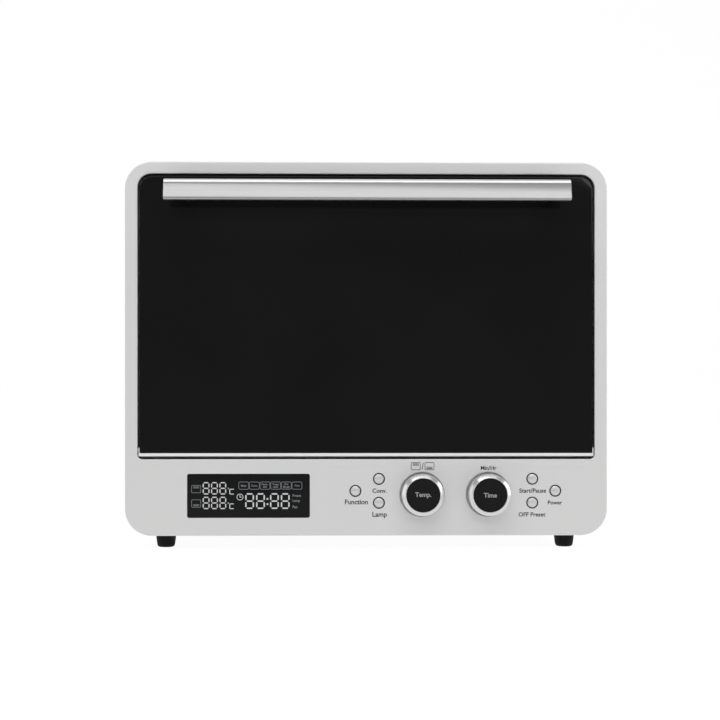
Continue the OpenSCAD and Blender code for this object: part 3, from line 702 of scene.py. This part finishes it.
def front_fascia():
    """The moulded front: rounded rim, rolled lip round the door, wells and holes for the controls."""
    body = rect_of(fascia_low, fascia_high, CORNER_R, CORNER_R, 0, 20)
    edge = 1.5 * MM
    back = fascia_high.y
    bm = bmesh.new()
    rim = [(-edge + edge * math.cos(a), FRONT + edge - edge * math.sin(a))
           for a in [math.radians(90 - 15 * i) for i in range(7)]]
    rim += [(0, back - 0.5 * MM), (-0.4 * MM, back), (-FASCIA_WALL, back),
            (-FASCIA_WALL, FRONT + FASCIA_WALL)]
    face_loop, inner_loop = sweep(bm, body, rim)
    front_loops, back_loops = [face_loop], [inner_loop]

    def hole(shape, profile):
        first, last = sweep(bm, shape, profile)
        front_loops.append(first)
        back_loops.append(last)

    lip = 2 * MM
    lip_r = 0.9 * MM
    angles = [math.radians(18 * i) for i in range(6)]
    lip_profile = [(lip_r - lip_r * math.sin(a), FRONT + lip_r - lip_r * math.cos(a)) for a in angles]
    lip_profile += [(0, FRONT + 3 * MM), (lip, FRONT + 3 * MM), (lip, FRONT + FASCIA_WALL)]
    hole(opening, lip_profile)
    soft = 0.5 * MM
    hole(window, [(soft, FRONT), (0.3 * soft, FRONT + 0.15 * soft), (0.15 * MM, FRONT + soft),
                  (0.15 * MM, FRONT + FASCIA_WALL)])
    for name in BUTTONS:
        c = centre("button_" + name)
        hole(circle(c.x, c.z, BUTTON_HOLE_R), [(0.4 * MM, FRONT), (0.1 * MM, FRONT + 0.1 * MM),
                                               (0, FRONT + 0.4 * MM), (0, FRONT + FASCIA_WALL)])
    for name in KNOBS:
        c = centre(name + "_knob")
        hole(circle(c.x, c.z, 0, 32), [(r * MM, FRONT + d * MM) for r, d in KNOB_WELL])
    fill(bm, *front_loops)
    fill(bm, *back_loops)
    place(object_from(bm, "fascia_shell", SILVER), "casing", "fascia_silver", "front_fascia")


def outer_cover():
    """The painted wrap with its louvres, ending in a hemmed edge against the fascia."""
    body = rect_of(cover_low, cover_high, CORNER_R, CORNER_R, 0, 20)
    y0, y1 = cover_low.y, cover_high.y
    hem = 0.6 * MM
    bm = bmesh.new()
    outer = [(-hem, y0), (-0.2 * hem, y0 + 0.2 * hem), (0, y0 + hem), (0, y1 - hem),
             (-0.2 * hem, y1 - 0.2 * hem), (-hem, y1), (-SHEET, y1), (-SHEET, y0)]
    first, last = sweep(bm, body, outer)
    bridge(bm, last, first)
    obj = object_from(bm, "cover_shell", SILVER)
    cutters = bmesh.new()
    floor_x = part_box("base_plate")[1].x - 24 * MM
    low = Vector((-floor_x, y0 - 0.01, cover_low.z - 0.01))
    high = Vector((floor_x, y1 + 0.01, cover_low.z + 3 * SHEET))
    rounded_box(cutters, low, high, 0.5 * MM, 1)
    reach, half_w, half_h, end_r = 6 * MM, 2.2 * MM, 14 * MM, 2.1 * MM
    count, first_y, pitch = 12, 192.25, 11
    for z in (cover_low.z + 48 * MM, cover_high.z - 60 * MM):
        for i in range(count):
            y = FRONT + (first_y + pitch * i) * MM
            for side in (-1, 1):
                x = side * cover_high.x
                rounded_box(cutters, (x - reach, y - half_w, z - half_h), (x + reach, y + half_w, z + half_h),
                            end_r, 4)
    cut(obj, cutters)
    place(obj, "casing", "silver_paint", "outer_cover")


def feet():
    """Four moulded feet: tapered, rounded at the bottom, hollow round the screw."""
    low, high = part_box("feet")
    bm = bmesh.new()
    for x in (low.x + FOOT_R, high.x - FOOT_R):
        for y in (low.y + FOOT_R, high.y - FOOT_R):
            profile = [(0, high.z), (9.9, high.z), (10.2, high.z - 0.3 * MM), (10.2, high.z - 1.2 * MM)]
            profile += [(a, b * MM) for a, b in FOOT_PROFILE]
            lathe_z(bm, x, y, [(a * MM, z) for a, z in profile])
    place(object_from(bm, "moulded_feet", RUBBER), "casing", "rubber", "feet")


# ---- door ----


def door_glass_panel():
    """Bevelled outer glass."""
    pane = rect_of(glass_low, glass_high, 0.8 * MM, DOOR_R, 0, 16)
    y0, y1 = glass_low.y, glass_high.y
    bevel = 1.0 * MM
    bm = bmesh.new()
    first, last = sweep(bm, pane, [(-bevel, y0), (-0.25 * bevel, y0 + 0.3 * bevel), (0, y0 + bevel),
                                   (0, y1 - 0.4 * MM), (-0.4 * MM, y1)])
    fill(bm, first)
    fill(bm, last)
    place(object_from(bm, "glass_pane", GLASS, 25), "door", "black_glass", "outer_glass")


def door_trim():
    """The aluminium rail along the door's lower edge: flat front, rounded underside, ends turned up."""
    bm = bmesh.new()
    y0, y1 = glass_low.y, glass_high.y
    z_glass = glass_low.z
    inner = glass_high.x - 0.1 * MM
    corner = 0.7 * MM
    low = trim_low.z + 1.1 * MM
    front = arc(y0 + corner, low + corner, corner, 180, 250, 5)
    under = arc(HINGE_Y, HINGE_Z, TRIM_R, 262, 360, 14)
    outline = [(y0, z_glass)] + front + under
    outline += [(HINGE_Y + TRIM_R, HINGE_Z + 3 * MM), (y1 + 2.5 * MM, trim_high.z)]
    outline += [(y1 + 0.02 * MM, trim_high.z), (y1 + 0.02 * MM, z_glass)]
    extrude_x(bm, outline, -inner, inner)
    top = z_glass + 6 * MM
    cap = front + under + [(HINGE_Y + TRIM_R, top - 1 * MM), (HINGE_Y + TRIM_R - 1 * MM, top),
                           (y0 + 1.2 * MM, top), (y0, top - 1.2 * MM)]
    for x0, x1 in ((trim_low.x, -inner), (inner, trim_high.x)):
        extrude_x(bm, cap, x0, x1, 0.35 * MM)
    place(object_from(bm, "lower_rail", RAIL), "door", "aluminium", "door_trim")


# The grip's face from its lower edge up: (first tilt, last tilt, height)
GRIP_FACE = ((-60, -2, 0.7), (-2, 7, 3.0), (7, 12, 11.7), (12, 27, 2.6), (27, 33, 1.0), (33, 42, 0.1),
             (42, 60, 1.3))


def handle():
    """The bar handle: a crowned aluminium front with softened edges on a black backing, on two posts."""
    low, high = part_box("handle_bar")
    back_low, back_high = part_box("handle_back")
    mid = (high.z + low.z) / 2
    outline = [(high.y, low.z + 0.5 * MM), (high.y - 0.4 * MM, low.z)]
    outline += bend(GRIP_FACE, low.y + 0.45 * MM, low.z + 0.05 * MM)
    outline += [(high.y - 0.4 * MM, high.z), (high.y, high.z - 0.5 * MM)]
    bm = bmesh.new()
    extrude_x(bm, outline, low.x, high.x, 0.5 * MM)
    place(object_from(bm, "grip_bar", SATIN, 40), "door", "aluminium", "handle_bar")
    bm = bmesh.new()
    rounded_box(bm, back_low, back_high, 0.8 * MM)
    place(object_from(bm, "grip_backing", PLASTIC), "door", "black_plastic", "handle_back")
    bm = bmesh.new()
    post_low, post_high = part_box("handle_posts")
    post_r = (post_high.z - post_low.z) / 2
    for side in (-1, 1):
        x = side * (post_high.x - post_r)
        profile = [(0, back_high.y - 0.5 * MM), (post_r, back_high.y - 0.5 * MM),
                   (post_r, glass_low.y - 1.2 * MM),
                   (post_r - 0.3 * MM, glass_low.y - 0.9 * MM), (post_r - 0.3 * MM, glass_low.y - 0.4 * MM),
                   (post_r, glass_low.y - 0.2 * MM), (post_r, glass_low.y), (0, glass_low.y)]
        lathe_y(bm, x, mid, profile)
    place(object_from(bm, "grip_posts", PLASTIC, 40), "door", "black_plastic", "handle_posts")


# ---- control panel ----


def knob(name):
    """Turned aluminium rim with a bevelled edge and a fine grip, and a dished black cap."""
    c = centre(name + "_knob")
    low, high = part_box(name + "_knob")
    r = (high.x - low.x) / 2 / MM
    cap_r = size(name + "_cap").x / 2 / MM
    front = (low.y - FRONT) / MM
    metal = turned_metal(name + "_rim_metal", c.x, c.z, (0.66, 0.66, 0.665), 0.6, 0.16, 0.26)
    profile = [(cap_r + 0.05, front + 3.4), (cap_r + 0.05, front + 0.25), (cap_r + 0.2, front + 0.05),
               (cap_r + 0.45, front), (cap_r + 0.8, front + 0.1), (r - 0.45, front + 2.75),
               (r - 0.1, front + 3.2), (r, front + 3.8), (r, 1.4), (r - 0.3, 1.9),
               (r - 2, 2.0), (r - 2, front + 6), (6, front + 6), (6, front + 3.4)]
    bm = bmesh.new()
    lathe_y(bm, c.x, c.z, [(a * MM, FRONT + d * MM) for a, d in profile], 32)
    place(object_from(bm, name + "_rim", metal, 30), name + "_knob", "turned_aluminium", name + "_knob")
    face = front + 0.9
    profile = [(0, face + 0.35), (9, face + 0.28), (14.5, face + 0.05), (cap_r - 1, face - 0.05),
               (cap_r - 0.3, face + 0.1), (cap_r, face + 0.6), (cap_r, face + 2.5), (0, face + 2.5)]
    bm = bmesh.new()
    lathe_y(bm, c.x, c.z, [(a * MM, FRONT + d * MM) for a, d in profile], 32)
    place(object_from(bm, name + "_face", CAP_BLACK, 30), name + "_knob", "gloss_black", name + "_cap")
    return FRONT + (face + 0.28) * MM


def button(name):
    """A bright cap with a soft bevel round a shallow dished centre."""
    node = "button_" + name
    c = centre(node)
    metal = turned_metal(name + "_cap_metal", c.x, c.z, (0.62, 0.62, 0.625), 0.35, 0.26, 0.36)
    front = (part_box(node)[0].y - FRONT) / MM
    profile = [(0, front), (0.9, front + 0.03), (1.8, front + 0.13), (2.7, front + 0.3), (3.5, front + 0.54),
               (4.1, front + 0.8), (4.5, front + 1.08), (4.75, front + 1.4), (4.85, front + 1.8), (4.85, 3.3),
               (5.9, 3.35), (5.9, 4.2), (2, 4.3), (2, 8.4), (0, 8.4)]
    bm = bmesh.new()
    lathe_y(bm, c.x, c.z, [(a * MM, FRONT + d * MM) for a, d in profile], 16)
    place(object_from(bm, name + "_key", metal, 30), node, "turned_aluminium", node)


def display_window():
    """The black window: a soft-edged pane in the fascia's opening, on a flange behind it."""
    low, high = window_low, window_high
    y = low.y
    bm = bmesh.new()
    soft = 0.5 * MM
    flange = rect_of(low, high, 3 * MM, 3 * MM, 0, 6)
    loop_a, loop_b = sweep(bm, window, [(-soft, y), (-0.2 * soft, y + 0.2 * soft), (0, y + soft),
                                        (0, FRONT + FASCIA_WALL)])
    loop_c, loop_d = sweep(bm, flange, [(0, FRONT + FASCIA_WALL), (0, high.y)])
    fill(bm, loop_a)
    fill(bm, loop_c, loop_b)
    fill(bm, loop_d)
    place(object_from(bm, "window_pane", LENS_BLACK, 30), "casing", "window", "display_window")


# ---- springs, rack and trays ----


def springs():
    """Two close-wound coils with a ring hook at each end."""
    low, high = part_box("hinge_springs")
    r, wire = 3.2 * MM, 0.8 * MM
    y = (low.y + high.y) / 2
    eyes = (low.z + wire + r, high.z - wire - r)
    bottom, top = eyes[0] + r, eyes[1] - r
    per_turn = 12
    steps = per_turn * round((top - bottom) / (2 * MM))
    bm = bmesh.new()
    for side in (-1, 1):
        x = side * (high.x - wire - r)
        for z in eyes:
            tube(bm, [(x + a, y, z + b) for a, b in arc(0, 0, r, 0, 345, 23)], wire, 8, closed=True)
        path = []
        for i in range(steps + 1):
            spread = r * min(1, i / 6, (steps - i) / 6)
            a = 2 * math.pi * i / per_turn
            z = bottom + (top - bottom) * i / steps
            path.append((x + spread * math.cos(a), y + spread * math.sin(a), z))
        tube(bm, path, wire, 8)
    place(object_from(bm, "coil_springs", STEEL, 50), "casing", "steel", "hinge_springs")


def rack():
    """A chromed wire rack: one bent rim, a cross wire under the middle and the wires welded over them."""
    low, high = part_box("wire_rack")
    rim, wire = 2.5 * MM, 1.4 * MM
    z = low.z + rim
    x0, x1, y0, y1 = low.x + rim, high.x - rim, low.y + rim, high.y - rim
    bend_r = 14 * MM
    bm = bmesh.new()
    loop = Shape(x0, x1, y0, y1, bend_r, bend_r, 6).points(0)
    tube(bm, [(x, y, z) for x, y in loop], rim, 12, closed=True)
    tube(bm, [(x0, (y0 + y1) / 2, z), (x1, (y0 + y1) / 2, z)], rim, 12)
    count = 18
    for i in range(count):
        x = x0 + (x1 - x0) * (i + 1) / (count + 1)
        ends = [(y0, 0.5), (y0 + rim, 0.9), (y0 + 3 * rim, 1),
                (y1 - 3 * rim, 1), (y1 - rim, 0.9), (y1, 0.5)]
        tube(bm, [(x, y, z + wire * rise) for y, rise in ends], wire, 8)
    place(object_from(bm, "rack_wires", CHROME_WIRE, 50), "wire_rack", "chromed_wire", "wire_rack")


TRAY_PROFILE = (
    (-15.5, 0), (-14.2, 0.3), (-13.1, 1.2), (-12.5, 2.6), (-10.6, 17.6), (-10.1, 19.0), (-9.0, 19.9),
    (-8.0, 20.0), (-1.0, 20.0), (-0.3, 20.1), (0, 20.5), (-0.3, 20.9), (-1.0, 21.0), (-8.6, 21.0),
    (-10.4, 20.5), (-11.3, 19.4), (-11.7, 17.8), (-13.5, 3.3), (-14.2, 1.9), (-15.3, 1.1), (-16.2, 1.0),
)
CRUMB_PROFILE = (
    (-1.6, 0), (-0.7, 0.2), (-0.2, 0.7), (0, 1.6), (0, 7.4), (-0.15, 7.85), (-0.5, 8), (-0.85, 7.85),
    (-1, 7.4), (-1, 2.0), (-1.3, 1.3), (-2.0, 1.0),
)


def pan(node, name, material, body, slot, corner, profile):
    """A pressed pan.

    Its profile is (grow, height) in mm, from the outside of its floor over the rim to the inside.
    """
    low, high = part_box(node)
    shape = Shape(low.x, high.x, low.y, high.y, corner * MM, corner * MM, 8)
    bm = bmesh.new()
    loops = [[bm.verts.new((x, y, low.z + height * MM)) for x, y in shape.points(grow * MM)]
             for grow, height in profile]
    for a, b in zip(loops, loops[1:]):
        bridge(bm, a, b)
    bm.faces.new(loops[0])
    bm.faces.new(loops[-1])
    place(object_from(bm, name, material), body, slot, node)


# ---- printed and lit marks ----


class Marks:
    """Thin raised marks on one face, gathered into one mesh."""

    def __init__(self, y):
        self.bm = bmesh.new()
        self.y = y

    def polygon(self, points):
        back = [self.bm.verts.new((x, self.y, z)) for x, z in points]
        front = [self.bm.verts.new((x, self.y - PRINT_T, z)) for x, z in points]
        bridge(self.bm, back, front)
        self.bm.faces.new(front)
        self.bm.faces.new(back)

    def bar(self, x0, x1, z0, z1):
        self.polygon([(x0, z0), (x1, z0), (x1, z1), (x0, z1)])

    def outline(self, shape, width):
        outer = ring(self.bm, shape, 0, self.y - PRINT_T)
        inner = ring(self.bm, shape, -width, self.y - PRINT_T)
        back_inner = ring(self.bm, shape, -width, self.y)
        back_outer = ring(self.bm, shape, 0, self.y)
        for a, b in ((outer, inner), (inner, back_inner), (back_inner, back_outer), (back_outer, outer)):
            bridge(self.bm, a, b)

    def words(self, text, x, z, width):
        """Adds words centred at x, z and scaled to a width."""
        curve = bpy.data.curves.new("words", "FONT")
        curve.body = text
        curve.align_x = "CENTER"
        curve.align_y = "CENTER"
        curve.resolution_u = 3
        curve.offset = 0.024
        holder = bpy.data.objects.new("words", curve)
        scene.collection.objects.link(holder)
        bpy.context.view_layer.update()
        flat = bpy.data.meshes.new_from_object(holder.evaluated_get(bpy.context.evaluated_depsgraph_get()))
        bpy.data.objects.remove(holder)
        xs = [v.co.x for v in flat.vertices]
        zs = [v.co.y for v in flat.vertices]
        scale = width / (max(xs) - min(xs))
        mid_x, mid_z = (max(xs) + min(xs)) / 2, (max(zs) + min(zs)) / 2
        part = bmesh.new()
        part.from_mesh(flat)
        bpy.data.meshes.remove(flat)
        bmesh.ops.remove_doubles(part, verts=part.verts, dist=1e-5)
        for v in part.verts:
            v.co = Vector((x + (v.co.x - mid_x) * scale, self.y, z + (v.co.y - mid_z) * scale))
        top = bmesh.ops.extrude_face_region(part, geom=list(part.faces))["geom"]
        for v in top:
            if isinstance(v, bmesh.types.BMVert):
                v.co.y = self.y - PRINT_T
        solid = bpy.data.meshes.new("words")
        part.to_mesh(solid)
        part.free()
        self.bm.from_mesh(solid)
        bpy.data.meshes.remove(solid)

    def finish(self, name, material, body, slot):
        return place(object_from(self.bm, name, material, 30), body, slot)


def digit(marks, x, z, w, h, t):
    """A figure eight of seven lit bars with mitred ends, its lower left corner at x, z."""
    gap = 0.34 * t
    half = h / 2

    def level(zc):
        a, b = x + t * 0.55 + gap, x + w - t * 0.55 - gap
        marks.polygon([(a, zc), (a + t / 2, zc - t / 2), (b - t / 2, zc - t / 2), (b, zc),
                       (b - t / 2, zc + t / 2), (a + t / 2, zc + t / 2)])

    def upright(xc, za, zb):
        a, b = za + t * 0.3 + gap, zb - t * 0.3 - gap
        marks.polygon([(xc, a), (xc + t / 2, a + t / 2), (xc + t / 2, b - t / 2), (xc, b),
                       (xc - t / 2, b - t / 2), (xc - t / 2, a + t / 2)])

    for zc in (z + t / 2, z + half, z + h - t / 2):
        level(zc)
    for xc in (x + t / 2, x + w - t / 2):
        upright(xc, z + t / 2, z + half)
        upright(xc, z + half, z + h - t / 2)


def heater_icon(marks, x, z, w, h, at_top, line):
    """A small oven outline with its element lines at the top or the bottom."""
    marks.outline(Shape(x - w / 2, x + w / 2, z - h / 2, z + h / 2, 1.2 * MM, 1.2 * MM, 4), line)
    sign = 1 if at_top else -1
    for i, reach in enumerate((0.29, 0.33)):
        zc = z + sign * (h * 0.28 - i * line * 2.2)
        marks.bar(x - w * reach, x + w * reach, zc - line / 2, zc + line / 2)
    for i in range(5):
        xc = x + (i - 2) * w * 0.13
        zc = z + sign * h * 0.28
        marks.bar(xc - line / 2, xc + line / 2, zc - line * 1.1, zc + line * 1.1)


def display_marks():
    """Everything lit in the window: temperatures, clock, function boxes and state words."""
    y = window_low.y
    left, base = window_low.x + WINDOW_FLANGE - 0.7 * MM, window_low.z + WINDOW_FLANGE
    bright, dim = Marks(y), Marks(y)
    small_w, small_h, small_t = 6.8 * MM, 12.3 * MM, 1.1 * MM
    for row_z in (23.3 * MM, 8.7 * MM):
        for i in range(3):
            digit(bright, left + (16.1 + 8.35 * i) * MM, base + row_z, small_w, small_h, small_t)
        x, z = left + 42.7 * MM, base + row_z
        bright.bar(x + 0.6 * MM, x + 4.4 * MM, z, z + 0.8 * MM)
        bright.bar(x + 0.6 * MM, x + 4.4 * MM, z + 4.8 * MM, z + 5.6 * MM)
        bright.bar(x, x + 0.85 * MM, z + 0.5 * MM, z + 5.1 * MM)
        bright.outline(circle(x - 1.0 * MM, z + 6.0 * MM, 0.65 * MM, 3), 0.35 * MM)
    heater_icon(dim, left + 9.6 * MM, base + 28.7 * MM, 9.7 * MM, 7.8 * MM, True, 0.5 * MM)
    heater_icon(dim, left + 9.6 * MM, base + 14.3 * MM, 9.7 * MM, 8.0 * MM, False, 0.5 * MM)
    words = (("Bake",), ("Conv.",), ("Ferm-", "ent"), ("Toast", "rack"), ("Dry", "fruit"), ("Thaw",))
    for i, lines in enumerate(words):
        x = left + (57.0 + 10.65 * i) * MM
        z = base + 32.1 * MM
        frame_line = Shape(x - 5.2 * MM, x + 5.2 * MM, z - 3.9 * MM, z + 3.9 * MM, 1.7 * MM, 1.7 * MM, 5)
        dim.outline(frame_line, 0.5 * MM)
        for k, word in enumerate(lines):
            width = min(1.35 * len(word), 6.6) * MM
            dz = 0 if len(lines) == 1 else (1.3 - 2.6 * k) * MM
            dim.words(word, x, z + dz, width)
    cx, cz = left + 53.3 * MM, base + 20.7 * MM
    bright.outline(circle(cx, cz, 3.3 * MM, 8), 0.6 * MM)
    bright.bar(cx - 0.3 * MM, cx + 0.3 * MM, cz - 0.2 * MM, cz + 2.0 * MM)
    bright.bar(cx - 0.3 * MM, cx + 1.6 * MM, cz - 0.4 * MM, cz + 0.2 * MM)
    for x in (58.5, 69.4, 83.3, 94.1):
        digit(bright, left + x * MM, base + 8.8 * MM, 8.8 * MM, 15.7 * MM, 1.4 * MM)
    for z in (13.6, 18.8):
        bright.polygon(circle(left + 80.7 * MM, base + z * MM, 0.95 * MM, 4).points(0))
    for word, z, width in (("Preset", 22.1, 8.6), ("Lamp", 16.7, 7.4), ("Fan", 10.8, 4.9)):
        dim.words(word, left + (105.8 + width / 2) * MM, base + z * MM, width * MM)
    bright.finish("lit_digits", SEGMENT, "casing", "window")
    dim.finish("lit_icons", ICON, "casing", "window")


# Each button's printed name, its width and its shift to the right, in mm
LABELS = (
    ("function", "Function", 23.0, 1.0),
    ("convection", "Conv.", 14.4, 0.6),
    ("lamp", "Lamp", 14.6, 0.7),
    ("start_pause", "Start/Pause", 27.0, 0.4),
    ("preset", "OFF Preset", 27.0, -0.3),
    ("power", "Power", 14.5, -0.3),
)


def panel_labels():
    """The printed names under the buttons, and the marks over the knobs."""
    labels = Marks(FRONT)
    under = -11.8 * MM
    for name, text, width, dx in LABELS:
        c = centre("button_" + name)
        drop = -0.5 * MM if "p" in text else 0.8 * MM if name == "function" else 0
        labels.words(text, c.x + dx * MM, c.z + under + drop, width * MM)
    over = centre("time_knob").z + 26.3 * MM
    labels.words("Min/Hr", centre("time_knob").x + 0.4 * MM, over, 15.8 * MM)
    x, z = centre("temp_knob").x, over + 1.8 * MM
    heater_icon(labels, x - 6.3 * MM, z, 9.6 * MM, 7.8 * MM, True, 0.6 * MM)
    heater_icon(labels, x + 7.5 * MM, z, 9.6 * MM, 7.8 * MM, False, 0.6 * MM)
    labels.polygon([(x - 0.4 * MM, z - 3.2 * MM), (x + 0.3 * MM, z - 3.2 * MM), (x + 1.7 * MM, z + 3.2 * MM),
                    (x + 1.0 * MM, z + 3.2 * MM)])
    labels.finish("panel_print", LABEL_INK, "casing", "fascia_silver")


def cap_label(name, text, width, y):
    """The word printed on a knob's cap."""
    c = centre(name + "_knob")
    marks = Marks(y)
    marks.words(text, c.x, c.z, width * MM)
    marks.finish(name + "_word", CAP_INK, name + "_knob", "gloss_black")


# ---- build ----

front_fascia()
outer_cover()
feet()
door_glass_panel()
door_trim()
handle()
for key in BUTTONS:
    button(key)
for key, word, wide in (("temp", "Temp.", 16.0), ("time", "Time", 13.0)):
    cap_label(key, word, wide, knob(key) - 0.02 * MM)
display_window()
display_marks()
panel_labels()

springs()
rack()
pan("baking_tray", "pressed_tray", ENAMEL, "baking_tray", "black_enamel", 26, TRAY_PROFILE)
pan("crumb_tray", "folded_crumb_tray", ZINC, "casing", "galvanised", 8, CRUMB_PROFILE)

CAD_LOOKS = {
    "rear_cover": ZINC, "base_plate": ZINC, "front_frame": CAVITY, "cavity_top": CAVITY,
    "cavity_bottom": CAVITY, "cavity_side_left": CAVITY, "cavity_side_right": CAVITY,
    "cavity_back": CAVITY, "fan_cover": CAVITY,
    "door_seal": RUBBER, "upper_heaters": HEATER, "lower_heaters": HEATER, "heater_insulators": CERAMIC,
    "lamp_holder": ZINC, "lamp_bulb": LAMP_GLASS, "lamp_glass": LAMP_GLASS, "temperature_sensors": STEEL,
    "motor_stator": LAMINATION, "motor_coil": COPPER, "rear_spacers": RUBBER,
    "cord_gland": PLASTIC, "control_board": BOARD, "power_board": BOARD, "display_module": PLASTIC,
    "button_guides": PLASTIC, "encoder_bodies": STEEL, "hinge_brackets": ZINC, "hinge_pins": STEEL,
    "casing_screws": STEEL, "inner_glass": INNER_GLASS, "door_frame": ENAMEL,
    "door_screws": STEEL, "hinge_levers": STEEL, "temp_plunger": PLASTIC, "time_plunger": PLASTIC,
    "impeller": STEEL, "cooling_fan": STEEL, "motor_rotor": STEEL,
}
EDGES = {"rear_spacers": 1.0, "cord_gland": 0.8, "casing_screws": 0.6, "door_screws": 0.6,
         "door_frame": 0.6, "door_seal": 1.0, "heater_insulators": 0.5, "inner_glass": 0.5,
         "motor_coil": 2.0, "power_board": 0.4}
FINE_EDGE = 0.25
for node, material in CAD_LOOKS.items():
    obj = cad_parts[node]
    obj.data.materials.clear()
    obj.data.materials.append(material)
    soften(obj, EDGES.get(node, FINE_EDGE) * MM)


# ---- stage and lights ----


def stage():
    """A pale floor that curves up into a wall behind the oven."""
    bm = bmesh.new()
    half = 4.0
    front, back, high, cove_r = -1.6, 2.2, 3.5, 0.6
    cove = [(back - cove_r + cove_r * math.sin(a), cove_r - cove_r * math.cos(a))
            for a in [math.radians(10 * i) for i in range(10)]]
    section = [(front, 0)] + cove + [(back, high)]
    left = [bm.verts.new((-half, y, z)) for y, z in section]
    right = [bm.verts.new((half, y, z)) for y, z in section]
    for i in range(len(section) - 1):
        bm.faces.new((left[i], right[i], right[i + 1], left[i + 1]))
    mesh = bpy.data.meshes.new("backdrop")
    bm.to_mesh(mesh)
    bm.free()
    mesh.materials.append(stage_white("stage_white", (0.1, 0.1, 0.1), 0.93))
    for p in mesh.polygons:
        p.use_smooth = True
    backdrop = bpy.data.objects.new("backdrop", mesh)
    scene.collection.objects.link(backdrop)


def area_light(name, place_at, aim, width, height, radiance, roll=0.0):
    """A softbox of a given size and radiance, aimed at a point."""
    data = bpy.data.lights.new(name, "AREA")
    data.shape = "RECTANGLE"
    data.size = width
    data.size_y = height
    data.energy = radiance * math.pi * width * height
    light = bpy.data.objects.new(name, data)
    light.location = place_at
    turn = (Vector(aim) - Vector(place_at)).to_track_quat("-Z", "Y").to_euler()
    turn.rotate_axis("Z", math.radians(roll))
    light.rotation_euler = turn
    scene.collection.objects.link(light)


FRONT_BOX_AT = (-0.25, -1.3, 0.838)
FRONT_BOX_AIM = (-0.22, -0.2, 0.38)
OVERHEAD_X = -0.1
OVERHEAD_Z = 2.1
OVERHEAD_WIDTH = 2.6
SIDE_BOX_X = 1.7
SIDE_BOX_Y = -0.3
SIDE_BOX_Z = 0.5
SIDE_AIM_Z = 0.1
WORLD_LEVEL = 0.14


def lights():
    """A low front box, two boxes overhead, one at each side, and a faint even world."""
    area_light("front_box", FRONT_BOX_AT, FRONT_BOX_AIM, 3.6, 0.38, 2.08, -7.0)
    for name, y, depth, radiance in (("overhead_front", -1.05, 0.8, 4.4), ("overhead_rear", 0.35, 1.2, 1.3)):
        area_light(name, (OVERHEAD_X, y, OVERHEAD_Z), (OVERHEAD_X, y, 0), OVERHEAD_WIDTH, depth, radiance)
    for side, name, radiance in ((-1, "left_box", 1.4), (1, "right_box", 3.0)):
        place_at = (side * SIDE_BOX_X, SIDE_BOX_Y, SIDE_BOX_Z)
        area_light(name, place_at, (0, SIDE_BOX_Y, SIDE_AIM_Z), 0.7, 1.2, radiance)
    world = bpy.data.worlds.new("studio")
    world.use_nodes = True
    world.node_tree.nodes["Background"].inputs["Color"].default_value = (1, 1, 1, 1)
    world.node_tree.nodes["Background"].inputs["Strength"].default_value = WORLD_LEVEL
    scene.world = world
    scene.view_settings.view_transform = "Standard"


stage()
lights()
